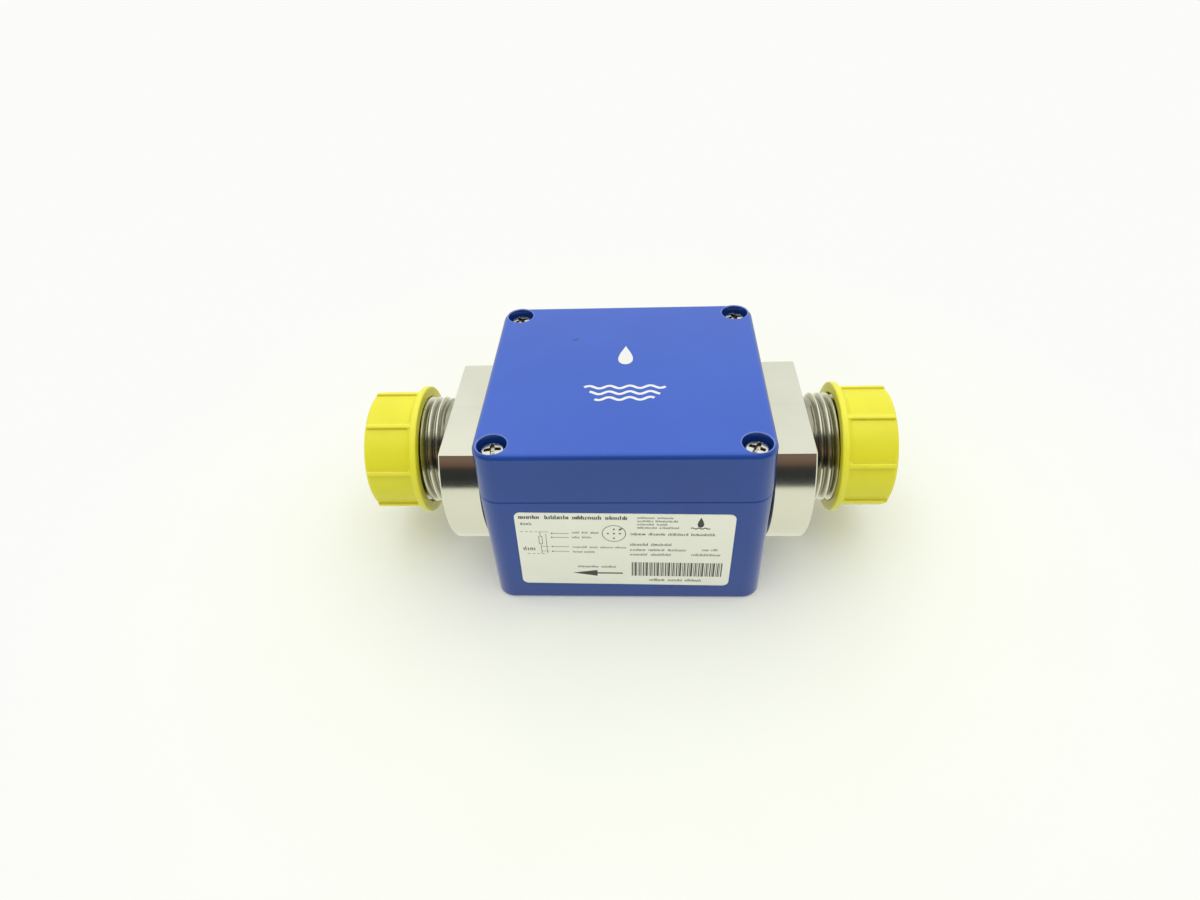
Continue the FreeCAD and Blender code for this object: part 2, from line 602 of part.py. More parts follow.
# ---------------------------------------------------------------- box
def make_housing_base():
    body = new_body("housing_base")
    outline = new_sketch(body, "XY", "seam_height")
    draw_rounded_rectangle(outline, "half_length", "half_width", "box_corner")
    block = pad(body, outline, "seam_height", reverse=True, taper="-1 * draft")
    rounded = dress(body, "Fillet", block, lying_at("Z", "0"), "floor_round")
    dress(body, "Chamfer", rounded, lying_at("Z", "seam_height"), "seam_chamfer")

    cavity = new_sketch(body, "XY", "seam_height")
    draw_seal_line(cavity, "box_wall", "column_radius", "column_turn")
    pocket(body, cavity, "seam_height - box_floor")

    tongue = new_sketch(body, "XY", "seam_height")
    draw_seal_band(tongue, "tongue_width")
    pad(body, tongue, "tongue_height")

    ribs = new_sketch(body, "XY", "box_floor")
    for side in ("-1", "1"):
        inner = f"{side} * ( rib_spread - rib_thickness / 2 )"
        outer = f"{side} * ( rib_spread + rib_thickness / 2 )"
        draw_polygon(ribs, [
            (inner, "-1 * yoke_half_width"),
            (outer, "-1 * yoke_half_width"),
            (outer, "yoke_half_width"),
            (inner, "yoke_half_width"),
        ])
    pad(body, ribs, "yoke_under - box_floor")

    tapped = new_sketch(body, "XY", "seam_height")
    circles_at_corners(tapped, "screw_x", "screw_y", "lid_screw_radius + thread_gap")
    pocket(body, tapped, "lid_screw_grip + tapping_spare")

    for side, reverse in (("1", True), ("-1", False)):
        seat = new_sketch(body, "YZ", f"{side} * pad_x")
        draw_gasket_outline(seat, "gasket_radius + gasket_top_gap", "seam_height + tongue_height")
        pocket(body, seat, "pad_depth + overshoot", reverse=reverse)

    pipe_hole = new_sketch(body, "YZ")
    draw_circle(pipe_hole, "0", "axis_height", "tube_radius + wall_hole_gap")
    pocket(body, pipe_hole, "box_length + 2 * overshoot", both_ways=True)

    screw_holes = new_sketch(body, "YZ")
    for across, up in flange_screw_places():
        draw_circle(screw_holes, across, f"axis_height + {up}", "flange_screw_hole")
    pocket(body, screw_holes, "box_length + 2 * overshoot", both_ways=True)

    plug_seat = new_sketch(body, "XZ", "-1 * plug_pad_y")
    draw_circle(plug_seat, "0", "plug_height", "plug_pad_radius")
    pocket(body, plug_seat, "plug_pad_depth + overshoot")

    plug_hole = new_sketch(body, "XZ", "-1 * half_width - overshoot")
    draw_circle(plug_hole, "0", "plug_height", "plug_hole_radius")
    pocket(body, plug_hole, "box_wall + 2 * overshoot", reverse=True)
    nodes.append(body)


def draw_gasket_outline(sketch, radius, top):
    """A circle about the pipe's axis, cut off straight at the top."""
    r, axis, level = value(radius), value("axis_height"), value(top)
    rise = level - axis
    reach = (r * r - rise * rise) ** 0.5
    start, end = V(reach, level, 0), V(-reach, level, 0)
    chord = sketch.addGeometry(Part.LineSegment(start, end), False)
    arc = draw_arc(sketch, V(0, axis, 0), end, start)
    sketch.addConstraint(Sketcher.Constraint("Coincident", chord, 1, arc, 2))
    sketch.addConstraint(Sketcher.Constraint("Coincident", chord, 2, arc, 1))
    sketch.addConstraint(Sketcher.Constraint("Horizontal", chord))
    locate(sketch, arc, 3, "0", "axis_height")
    dimension(sketch, "Radius", (arc,), radius)
    dimension(sketch, "DistanceY", (-1, 1, chord, 1), top)


def make_housing_lid():
    body = new_body("housing_lid")
    outline = new_sketch(body, "XY", "seam_height")
    draw_rounded_rectangle(outline, "half_length", "half_width", "box_corner")
    block = pad(body, outline, "box_height - seam_height", taper="-1 * draft")
    rounded = dress(body, "Fillet", block, lying_at("Z", "box_height"), "roof_round")
    dress(body, "Chamfer", rounded, lying_at("Z", "seam_height"), "seam_chamfer")

    cavity = new_sketch(body, "XY", "roof_under")
    draw_seal_line(cavity, "box_wall", "column_radius", "column_turn")
    pocket(body, cavity, "roof_under - seam_height")

    groove = new_sketch(body, "XY", "groove_roof")
    draw_seal_band(groove, "groove_width")
    pocket(body, groove, "groove_depth")

    holes = new_sketch(body, "XY", "box_height")
    circles_at_corners(holes, "screw_x", "screw_y", "lid_screw_radius + screw_gap")
    pocket(body, holes, "box_height - seam_height")
    sinks = new_sketch(body, "XY", "box_height")
    circles_at_corners(sinks, "screw_x", "screw_y", "sink_radius")
    pocket(body, sinks, "sink_depth")
    nodes.append(body)


def make_lid_gasket():
    body = new_body("lid_gasket")
    band = new_sketch(body, "XY", "tongue_top")
    draw_seal_band(band, "tongue_width")
    pad(body, band, "groove_depth - tongue_height")
    nodes.append(body)


def make_screw(label, radius, reach, head_radius, head_height, recess_width, recess_depth):
    """A pan-head screw along +Z, its seat at z = 0, with a cross recess."""
    body = new_body(label)
    profile = new_sketch(body, "XZ")
    draw_polygon(profile, [
        ("0", f"-1 * ( {reach} )"),
        (f"{radius} * ( 1 - tip_share )", f"-1 * ( {reach} )"),
        (radius, f"{radius} * tip_share - ( {reach} )"),
        (radius, "0"),
        (head_radius, "0"),
        (head_radius, f"{head_height} * head_edge_share"),
        (f"{head_radius} * head_top_share", head_height),
        ("0", head_height),
    ])
    revolve(body, profile, "V_Axis")
    cross = new_sketch(body, "XY", head_height)
    arm, slot = f"{head_radius} * recess_share", f"{recess_width} / 2"
    back_arm, back_slot = f"-1 * {arm}", f"-1 * {slot}"
    draw_polygon(cross, [
        (arm, slot), (slot, slot), (slot, arm), (back_slot, arm), (back_slot, slot), (back_arm, slot),
        (back_arm, back_slot), (back_slot, back_slot), (back_slot, back_arm), (slot, back_arm),
        (slot, back_slot), (arm, back_slot),
    ])
    pocket(body, cross, recess_depth)
    return body


def make_lid_screws():
    screw = make_screw("lid_screw", "lid_screw_radius", "lid_screw_reach",
                       "lid_head_radius", "lid_head_height", "recess_width", "recess_depth")
    places = corners("screw_x", "screw_y", "sink_floor")
    turns = [turned(Z_AXIS, angle) for angle in LID_SCREW_TURNS]
    group("lid_screws", screw, places, turns)


def make_rating_label():
    """A thin plate on the drafted front wall."""
    body = new_body("rating_label")
    outline = new_sketch(body, "XZ")
    draw_rounded_rectangle(outline, "label_length / 2", "label_height / 2", "label_corner")
    bind(outline, "AttachmentOffset.Rotation.Angle", "-1 * label_tilt")
    pad(body, outline, "label_thickness")
    front = "( seam_height - label_z ) * tan(draft ) - half_width"
    place(body, "label_x", front, "label_z", turned(X_AXIS, 1))
    bind(body, "Placement.Rotation.Angle", "draft")
    nodes.append(body)


# ---------------------------------------------------------------- pipe line
def make_fitting(label, rotation=None):
    """Flange with socket and male pipe thread, turned about the pipe's axis, with a milled flat."""
    body = new_body(label)
    profile = new_sketch(body, "XZ")
    draw_polygon(profile, [
        ("flange_x", "socket_radius"),
        ("flange_x", "flange_radius - flange_chamfer"),
        ("flange_x + flange_chamfer", "flange_radius"),
        ("shoulder_x - flange_chamfer", "flange_radius"),
        ("shoulder_x", "flange_radius - flange_chamfer"),
        ("shoulder_x", "relief_radius"),
        ("relief_x - relief_slope", "relief_radius"),
        ("relief_x", "thread_radius"),
        ("thread_end_x - thread_chamfer", "thread_radius"),
        ("thread_end_x", "thread_radius - thread_chamfer"),
        ("thread_end_x", "bore_radius + mouth_chamfer"),
        ("thread_end_x - mouth_chamfer", "bore_radius"),
        ("socket_x", "bore_radius"),
        ("socket_x", "socket_radius"),
        ("ring_groove_end_x", "socket_radius"),
        ("ring_groove_end_x", "ring_groove_radius"),
        ("ring_groove_x", "ring_groove_radius"),
        ("ring_groove_x", "socket_radius"),
    ])
    revolve(body, profile, "H_Axis")

    flat = new_sketch(body, "XZ")
    draw_polygon(flat, [
        ("flange_x - overshoot", "flange_flat"),
        ("shoulder_x", "flange_flat"),
        ("shoulder_x", "flange_radius + overshoot"),
        ("flange_x - overshoot", "flange_radius + overshoot"),
    ])
    pocket(body, flat, "2 * flange_radius + 2 * overshoot", both_ways=True)

    tapped = new_sketch(body, "YZ", "flange_x")
    for across, up in flange_screw_places():
        draw_circle(tapped, across, up, "flange_screw_radius + thread_gap")
    pocket(body, tapped, "flange_screw_grip + overshoot", reverse=True)
    place(body, z="axis_height", rotation=rotation)
    nodes.append(body)


def make_flange_gasket(label, side):
    body = new_body(label)
    outline = new_sketch(body, "YZ", f"{side} * pad_x")
    draw_gasket_outline(outline, "gasket_radius", "seam_height - gasket_top_gap")
    draw_circle(outline, "0", "axis_height", "tube_radius + gasket_hole_gap")
    for across, up in flange_screw_places():
        draw_circle(outline, across, f"axis_height + {up}", "flange_screw_hole")
    pad(body, outline, "gasket_thickness", reverse=side == "-1")
    nodes.append(body)


def make_flange_screws():
    """Screws from inside the box through its wall and the gasket into the flanges."""
    through = "box_wall - pad_depth + gasket_thickness"
    screw = make_screw("flange_screw", "flange_screw_radius", f"{through} + flange_screw_grip",
                       "flange_screw_head", "flange_screw_head_height", "recess_width", "recess_depth")
    seat = "( half_length - box_wall )"
    for label, side, turn in (("inlet_flange_screws", "1", -90), ("outlet_flange_screws", "-1", 90)):
        places = []
        for across, up in flange_screw_places():
            places.append((f"{side} * {seat}", across, f"axis_height + {up}"))
        group(label, screw, places, [turned(Y_AXIS, turn)] * len(places))


def make_tube_seal(label, side):
    ring = doc.addObject("Part::Torus", label)
    ring.Label = label
    bind(ring, "Radius1", "tube_ring_radius")
    bind(ring, "Radius2", "tube_ring_section")
    middle = f"{side} * ( ring_groove_x + ring_groove_end_x ) / 2"
    place(ring, middle, "0", "axis_height", turned(Y_AXIS, 90))
    nodes.append(ring)


def make_measuring_tube():
    body = new_body("measuring_tube")
    ring = new_sketch(body, "YZ")
    draw_circle(ring, "0", "0", "tube_radius")
    draw_circle(ring, "0", "0", "bore_radius")
    pad(body, ring, "2 * tube_end_x", both_ways=True)

    pin_holes = new_sketch(body, "XZ")
    draw_circle(pin_holes, "0", "0", "electrode_hole")
    pocket(body, pin_holes, "2 * tube_radius + 2 * overshoot", both_ways=True)
    for side, reverse in (("-1", False), ("1", True)):
        seat = new_sketch(body, "XZ", f"{side} * electrode_flat")
        draw_circle(seat, "0", "0", "shoulder_radius + shoulder_gap")
        pocket(body, seat, "electrode_seat + overshoot", reverse=reverse)
    place(body, z="axis_height")
    nodes.append(body)


# ---------------------------------------------------------------- electrodes
def make_electrode(label, rotation=None):
    """A pin with a shoulder, its tip just behind the bore; modelled towards -Y."""
    body = new_body(label)
    profile = new_sketch(body, "YZ")
    draw_polygon(profile, [
        ("-1 * ( bore_radius + electrode_recess )", "0"),
        ("-1 * ( bore_radius + electrode_recess )", "electrode_radius"),
        ("-1 * electrode_shoulder", "electrode_radius"),
        ("-1 * electrode_shoulder", "shoulder_radius"),
        ("-1 * electrode_back", "shoulder_radius"),
        ("-1 * electrode_back", "electrode_radius"),
        ("-1 * electrode_reach", "electrode_radius"),
        ("-1 * electrode_reach", "0"),
    ])
    revolve(body, profile, "H_Axis")
    place(body, z="axis_height", rotation=rotation)
    nodes.append(body)


def make_electrode_seal(label, side):
    ring = doc.addObject("Part::Torus", label)
    ring.Label = label
    bind(ring, "Radius1", "electrode_radius + electrode_gap / 2 + electrode_ring_section")
    bind(ring, "Radius2", "electrode_ring_section")
    middle = f"{side} * ( electrode_flat + electrode_ring_section )"
    place(ring, "0", middle, "axis_height", turned(X_AXIS, 90))
    nodes.append(ring)


def make_electrode_holder(label, rotation=None):
    """Insulating saddle between the tube and the yoke's leg; modelled towards -Y."""
    body = new_body(label)
    back = "yoke_leg - yoke_window_gap"
    block = new_sketch(body, "XY", "-1 * holder_height / 2")
    draw_polygon(block, [
        ("-1 * holder_length / 2", f"-1 * ( {back} )"),
        ("holder_length / 2", f"-1 * ( {back} )"),
        ("holder_length / 2", "-1 * shoulder_radius"),
        ("-1 * holder_length / 2", "-1 * shoulder_radius"),
    ])
    pad(body, block, "holder_height")
    saddle = new_sketch(body, "YZ")
    draw_circle(saddle, "0", "0", "shoe_under")
    pocket(body, saddle, "holder_length + 2 * overshoot", both_ways=True)
    pin_hole = new_sketch(body, "XZ")
    draw_circle(pin_hole, "0", "0", "electrode_hole")
    pocket(body, pin_hole, "2 * yoke_half_width", both_ways=True)
    shoulder_room = new_sketch(body, "XZ")
    draw_circle(shoulder_room, "0", "0", "shoulder_radius + shoulder_gap")
    pocket(body, shoulder_room, "2 * ( electrode_back + shoulder_gap )", both_ways=True)
    place(body, z="axis_height", rotation=rotation)
    nodes.append(body)


# ---------------------------------------------------------------- magnet system
def make_pole(label, rotation=None):
    """A curved shoe over the tube and a round core up to the yoke, one turned and milled piece."""
    body = new_body(label)
    shoe = new_sketch(body, "YZ")
    draw_circle(shoe, "0", "0", "shoe_top")
    draw_circle(shoe, "0", "0", "shoe_under")
    pad(body, shoe, "shoe_length", both_ways=True)
    core = new_sketch(body, "XY", "yoke_inside")
    draw_circle(core, "0", "0", "core_radius")
    pad(body, core, "yoke_inside - shoe_under - shoe_thickness / 2", reverse=True)
    lower_part = new_sketch(body, "YZ")
    edge = "sqrt(shoe_under * shoe_under - shoe_half_width * shoe_half_width )"
    limit = "shoe_top + overshoot"
    draw_polygon(lower_part, [
        (f"-1 * ( {limit} )", f"-1 * ( {limit} )"),
        (limit, f"-1 * ( {limit} )"),
        (limit, edge),
        (f"-1 * ( {limit} )", edge),
    ])
    pocket(body, lower_part, "shoe_length + 2 * overshoot", both_ways=True)
    screw_hole = new_sketch(body, "XY", "yoke_inside")
    draw_circle(screw_hole, "0", "0", "pole_screw_radius + thread_gap")
    pocket(body, screw_hole, "pole_screw_length - yoke_strip + pole_screw_spare")
    place(body, z="axis_height", rotation=rotation)
    nodes.append(body)


def make_bobbin(label, rotation=None):
    """A spool round the pole's core, between shoe and yoke."""
    body = new_body(label)
    profile = new_sketch(body, "XZ")
    draw_polygon(profile, [
        ("bobbin_bore", "bobbin_low"),
        ("bobbin_radius", "bobbin_low"),
        ("bobbin_radius", "bobbin_low + bobbin_wall"),
        ("bobbin_bore + bobbin_wall", "bobbin_low + bobbin_wall"),
        ("bobbin_bore + bobbin_wall", "bobbin_high - bobbin_wall"),
        ("bobbin_radius", "bobbin_high - bobbin_wall"),
        ("bobbin_radius", "bobbin_high"),
        ("bobbin_bore", "bobbin_high"),
    ])
    revolve(body, profile, "V_Axis")
    place(body, z="axis_height", rotation=rotation)
    nodes.append(body)


def make_coil(label, rotation=None):
    """The winding on a bobbin."""
    body = new_body(label)
    low, high = "bobbin_low + bobbin_wall + coil_gap", "bobbin_high - bobbin_wall - coil_gap"
    inner, outer = "bobbin_bore + bobbin_wall + coil_gap", "bobbin_radius - coil_margin"
    profile = new_sketch(body, "XZ")
    draw_polygon(profile, [(inner, low), (outer, low), (outer, high), (inner, high)])
    revolve(body, profile, "V_Axis")
    place(body, z="axis_height", rotation=rotation)
    nodes.append(body)


def make_pole_screws():
    """Countersunk screws through the yoke into both poles."""
    body = new_body("pole_screw")
    profile = new_sketch(body, "XZ")
    draw_polygon(profile, [
        ("0", "-1 * pole_screw_length"),
        ("pole_screw_radius", "-1 * pole_screw_length"),
        ("pole_screw_radius", "pole_screw_radius - pole_screw_head"),
        ("pole_screw_head", "0"),
        ("0", "0"),
    ])
    revolve(body, profile, "V_Axis")
    slot = new_sketch(body, "XY")
    draw_rounded_rectangle(slot, "pole_slot_length / 2", "pole_slot_width / 2", "pole_slot_corner")
    pocket(body, slot, "pole_slot_depth")
    group("pole_screws", body, [("0", "0", "yoke_top"), ("0", "0", "yoke_under")],
          [turned(Z_AXIS, 0), turned(X_AXIS, 180)])


def make_magnet_yoke():
    """A ring of steel strip round the tube, with windows for the electrodes."""
    body = new_body("magnet_yoke")
    strip = new_sketch(body, "YZ")
    draw_rounded_rectangle(strip, "yoke_half_width", "yoke_half_height", "yoke_bend")
    draw_rounded_rectangle(strip, "yoke_leg", "yoke_inside", "yoke_bend - yoke_strip")
    pad(body, strip, "yoke_length", both_ways=True)
    windows = new_sketch(body, "XZ")
    draw_circle(windows, "0", "0", "yoke_window")
    pocket(body, windows, "2 * yoke_half_width + 2 * overshoot", both_ways=True)

    pole_holes = new_sketch(body, "XY")
    draw_circle(pole_holes, "0", "0", "pole_screw_radius + pole_screw_gap")
    pocket(body, pole_holes, "2 * yoke_half_height + 2 * overshoot", both_ways=True)
    sink = new_sketch(body, "XZ")
    for side in ("1", "-1"):
        draw_polygon(sink, [
            ("0", f"{side} * yoke_half_height"),
            ("pole_screw_head + pole_screw_gap", f"{side} * yoke_half_height"),
            ("pole_screw_radius + pole_screw_gap", f"{side} * pole_screw_seat"),
            ("0", f"{side} * pole_screw_seat"),
        ])
    revolve(body, sink, "V_Axis", groove=True)

    board_holes = new_sketch(body, "XY", "yoke_half_height")
    circles_at_corners(board_holes, "spacer_x", "spacer_y", "board_screw_radius + thread_gap")
    pocket(body, board_holes, "yoke_strip + overshoot")
    place(body, z="axis_height")
    nodes.append(body)


# ---------------------------------------------------------------- circuit board
def make_circuit_board():
    body = new_body("circuit_board")
    outline = new_sketch(body, "XY", "board_under")
    draw_rounded_rectangle(outline, "board_half_length", "board_half_width", "board_corner")
    circles_at_corners(outline, "spacer_x", "spacer_y", "board_hole_radius")
    pad(body, outline, "board_thickness")
    nodes.append(body)


def make_board_fasteners():
    spacer = new_body("board_spacer")
    ring = new_sketch(spacer, "XY")
    draw_circle(ring, "0", "0", "spacer_radius")
    draw_circle(ring, "0", "0", "board_hole_radius")
    pad(spacer, ring, "spacer_height")
    group("board_spacers", spacer, corners("spacer_x", "spacer_y", "yoke_top"))
    screw = make_screw("board_screw", "board_screw_radius", "board_screw_length", "board_screw_head",
                       "board_screw_head_height", "board_recess_width", "board_recess_depth")
    group("board_screws", screw, corners("spacer_x", "spacer_y", "board_top"))


def make_block(label, half_x, half_y, height):
    body = new_body(label)
    outline = new_sketch(body, "XY")
    draw_rounded_rectangle(outline, half_x, half_y, "chip_corner")
    pad(body, outline, height)
    return body


def make_board_parts():
    processor = make_block("processor_chip", "processor_side / 2", "processor_side / 2", "processor_height")
    place(processor, "board_half_length - processor_inset", "0", "board_top")
    nodes.append(processor)
    chip = make_block("amplifier_chip", "amplifier_length / 2", "amplifier_width / 2", "amplifier_height")
    column, rows = "amplifier_inset - board_half_length", ("amplifier_y", "-1 * amplifier_y")
    group("amplifier_chips", chip, [(column, row, "board_top") for row in rows])
    can = new_body("capacitor")
    outline = new_sketch(can, "XY")
    draw_circle(outline, "0", "0", "capacitor_radius")
    pad(can, outline, "capacitor_height")
    group("board_capacitors", can, corners("capacitor_x", "capacitor_y", "board_top"))
    header = make_block("lead_header", "header_length / 2", "header_width / 2", "header_height")
    place(header, "0", "board_half_width - header_inset", "board_under - header_height")
    nodes.append(header)


# ---------------------------------------------------------------- receptacle
def draw_hexagon(sketch, across_flats, x, y):
    """A regular hexagon with two upright flats."""
    corner = f"{across_flats} / 2 / cos(30 )"
    points = []
    for angle in range(30, 390, 60):
        points.append((f"{x} + {corner} * cos({angle} )", f"{y} + {corner} * sin({angle} )"))
    draw_polygon(sketch, points)


def make_connector_shell():
    """Hexagon collar, M12 thread outside the box and stem through its wall."""
    body = new_body("connector_shell")
    collar = new_sketch(body, "XZ", "-1 * plug_hex_y")
    draw_hexagon(collar, "plug_hex", "0", "0")
    pad(body, collar, "plug_hex_thickness", reverse=True)
    thread = new_sketch(body, "XZ", "-1 * plug_face_y")
    draw_circle(thread, "0", "0", "plug_thread_radius")
    pad(body, thread, "plug_thread_length", reverse=True)
    stem = new_sketch(body, "XZ", "-1 * plug_hex_y")
    draw_circle(stem, "0", "0", "plug_stem_radius")
    pad(body, stem, "plug_stem_length")
    cavity = new_sketch(body, "XZ", "overshoot - insert_back_y")
    draw_circle(cavity, "0", "0", "plug_cavity_radius")
    pocket(body, cavity, "plug_stem_length + overshoot")
    mouth = new_sketch(body, "XZ", "-1 * insert_back_y")
    draw_circle(mouth, "0", "0", "plug_mouth_radius")
    pocket(body, mouth, "plug_face_y + plug_thread_length + overshoot - insert_back_y")
    key = new_sketch(body, "XZ", "-1 * insert_front_y")
    draw_polygon(key, [
        ("-1 * plug_key_width / 2", "plug_mouth_radius - plug_key_height"),
        ("plug_key_width / 2", "plug_mouth_radius - plug_key_height"),
        ("plug_key_width / 2", "plug_mouth_radius + plug_key_root"),
        ("-1 * plug_key_width / 2", "plug_mouth_radius + plug_key_root"),
    ])
    pad(body, key, "pin_reach", reverse=True)
    place(body, z="plug_height")
    nodes.append(body)


def make_connector_insert():
    body = new_body("connector_insert")
    rear = new_sketch(body, "XZ", "-1 * insert_back_y")
    draw_circle(rear, "0", "0", "plug_cavity_radius - insert_gap")
    pad(body, rear, "plug_stem_length - insert_gap", reverse=True)
    front = new_sketch(body, "XZ", "-1 * insert_back_y")
    draw_circle(front, "0", "0", "plug_mouth_radius - insert_gap")
    pad(body, front, "insert_length", reverse=True)
    holes = new_sketch(body, "XZ", "overshoot - insert_back_y")
    for x, z in pin_places():
        draw_circle(holes, x, z, "pin_radius + pin_gap")
    pocket(body, holes, "insert_length + 2 * overshoot")
    place(body, z="plug_height")
    nodes.append(body)


def pin_places():
    """One pin in the middle and four round it."""
    places = [("0", "0")]
    for angle in PIN_ANGLES:
        places.append((f"pin_circle * cos({angle} )", f"pin_circle * sin({angle} )"))
    return places


def make_connector_pins():
    pin = new_body("connector_pin")
    section = new_sketch(pin, "XZ", "pin_tail - insert_back_y")
    draw_circle(section, "0", "0", "pin_radius")
    rod = pad(pin, section, "pin_tail + insert_length + pin_reach", reverse=True)
    dress(pin, "Chamfer", rod, lying_at("Y", "insert_front_y + pin_reach"), "pin_tip")
    places = [(x, "0", f"plug_height + {z}") for x, z in pin_places()]
    group("connector_pins", pin, places)


def make_connector_nut():
    body = new_body("connector_nut")
    outline = new_sketch(body, "XZ", "box_wall - half_width")
    draw_hexagon(outline, "plug_nut_hex", "0", "0")
    draw_circle(outline, "0", "0", "plug_stem_radius + thread_gap")
    pad(body, outline, "plug_nut_thickness")
    place(body, z="plug_height")
    nodes.append(body)


def make_connector_seal():
    body = new_body("connector_seal")
    ring = new_sketch(body, "XZ", "-1 * plug_pad_y")
    draw_circle(ring, "0", "0", "plug_seal_radius")
    draw_circle(ring, "0", "0", "plug_hole_radius")
    pad(body, ring, "plug_seal_thickness", reverse=True)
    place(body, z="plug_height")
    nodes.append(body)


# ---------------------------------------------------------------- protective caps
def make_cap(label, turn, rotation=None):
    """Moulded screw cap: collar at the open end, grip ribs, closed outer face."""
    body = new_body(label)
    profile = new_sketch(body, "XZ")
    draw_polygon(profile, [
        ("cap_open_x", "cap_bore"),
        ("cap_open_x", "cap_lip_radius"),
        ("cap_open_x + cap_lip_width", "cap_lip_radius"),
        ("cap_open_x + cap_lip_width", "cap_outside"),
        ("cap_face_x", "cap_outside"),
        ("cap_face_x", "0"),
        ("cap_seat_x", "0"),
        ("cap_seat_x", "cap_bore"),
    ])
    shell = revolve(body, profile, "H_Axis")
    dress(body, "Fillet", shell, lying_at("X", "cap_face_x"), "cap_round")

    section = new_sketch(body, "YZ", "cap_open_x + cap_lip_width / 2")
    bind(section, "AttachmentOffset.Rotation.Angle", turn)
    middle = "( cap_bore + cap_outside ) / 2"
    draw_polygon(section, [
        ("-1 * cap_rib_width / 2", middle),
        ("cap_rib_width / 2", middle),
        ("cap_rib_width / 2", "cap_rib_radius"),
        ("-1 * cap_rib_width / 2", "cap_rib_radius"),
    ])
    rib = pad(body, section, "cap_length - cap_lip_width / 2 - cap_rib_end")
    ribs = body.newObject("PartDesign::PolarPattern", label + "_ribs")
    ribs.Originals = [rib]
    ribs.Axis = (section, ["N_Axis"])
    ribs.Angle = 360.0
    bind(ribs, "Occurrences", "cap_rib_count")
    body.Tip = ribs
    doc.recompute()
    place(body, z="axis_height", rotation=rotation)
    nodes.append(body)


def build():
    make_housing_base()
    make_housing_lid()
    make_lid_gasket()
    make_lid_screws()
    make_rating_label()
    make_fitting("inlet_fitting")
    make_fitting("outlet_fitting", HALF_TURN)
    make_flange_gasket("inlet_flange_gasket", "1")
    make_flange_gasket("outlet_flange_gasket", "-1")
    make_flange_screws()
    make_tube_seal("inlet_tube_seal", "1")
    make_tube_seal("outlet_tube_seal", "-1")
    make_measuring_tube()
    make_electrode("front_electrode")
    make_electrode("back_electrode", HALF_TURN)
    make_electrode_seal("front_electrode_seal", "-1")
    make_electrode_seal("back_electrode_seal", "1")
    make_electrode_holder("front_electrode_holder")
    make_electrode_holder("back_electrode_holder", HALF_TURN)
    upside_down = turned(X_AXIS, 180)
    for name, rotation in (("upper", None), ("lower", upside_down)):
        make_pole(name + "_pole", rotation)
        make_bobbin(name + "_bobbin", rotation)
        make_coil(name + "_coil", rotation)
    make_pole_screws()
    make_magnet_yoke()
    make_circuit_board()
    make_board_fasteners()
    make_board_parts()
    make_connector_shell()
    make_connector_insert()
    make_connector_pins()
    make_connector_nut()
    make_connector_seal()
    make_cap("inlet_cap", "inlet_cap_turn")
    make_cap("outlet_cap", "outlet_cap_turn", HALF_TURN)


def check_and_export():
    doc.recompute()
    for item in doc.Objects:
        if "Invalid" in item.State or "Error" in item.State:
            raise RuntimeError(f"{item.Label} did not build")
    for node in nodes:
        if node.Shape.isNull() or not node.Shape.isValid() or not node.Shape.Solids:
            raise RuntimeError(f"{node.Label} has no valid shape")
    os.makedirs("parts", exist_ok=True)
    for node in nodes:
        node.Shape.exportStep(f"parts/{node.Label}.step")


build()
check_and_export()
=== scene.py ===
"""Looks of the flow sensor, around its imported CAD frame; shapes are worked out in millimetres."""
import json
import math
import random

import bmesh
import bpy
from mathutils import Matrix, Vector


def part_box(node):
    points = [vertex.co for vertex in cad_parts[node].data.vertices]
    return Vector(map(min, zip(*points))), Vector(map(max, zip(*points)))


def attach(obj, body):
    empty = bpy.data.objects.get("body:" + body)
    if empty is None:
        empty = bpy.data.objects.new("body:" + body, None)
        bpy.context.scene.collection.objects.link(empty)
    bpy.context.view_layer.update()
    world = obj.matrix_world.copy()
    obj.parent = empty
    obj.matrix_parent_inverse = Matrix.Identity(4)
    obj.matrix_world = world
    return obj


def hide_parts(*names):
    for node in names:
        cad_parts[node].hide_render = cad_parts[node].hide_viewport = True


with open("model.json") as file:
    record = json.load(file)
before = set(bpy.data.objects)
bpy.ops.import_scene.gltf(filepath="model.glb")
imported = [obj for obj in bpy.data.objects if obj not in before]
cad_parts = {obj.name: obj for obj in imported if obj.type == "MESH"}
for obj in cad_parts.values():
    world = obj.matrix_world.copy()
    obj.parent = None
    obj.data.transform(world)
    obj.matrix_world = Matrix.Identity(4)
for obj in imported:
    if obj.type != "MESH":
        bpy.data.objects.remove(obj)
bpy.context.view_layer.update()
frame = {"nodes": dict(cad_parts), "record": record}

MM = 0.001


def mm(*values):
    return Vector([v * MM for v in values])


def node_box(node):
    """Lowest and highest corner of a CAD node, in millimetres."""
    low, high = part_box(node)
    return low / MM, high / MM


# ---------------------------------------------------------------- places taken from the frame
FITTING_LOW, FITTING_HIGH = node_box("inlet_fitting")
CAP_LOW, CAP_HIGH = node_box("inlet_cap")
LID_HIGH = node_box("housing_lid")[1]
SHELL_LOW, SHELL_HIGH = node_box("connector_shell")

PIPE_Z = (CAP_LOW.z + CAP_HIGH.z) / 2
FLANGE_X = FITTING_LOW.x
THREAD_END_X = FITTING_HIGH.x
FLANGE_R = FITTING_HIGH.y
LID_TOP = LID_HIGH.z
PLUG_Z = (SHELL_LOW.z + SHELL_HIGH.z) / 2

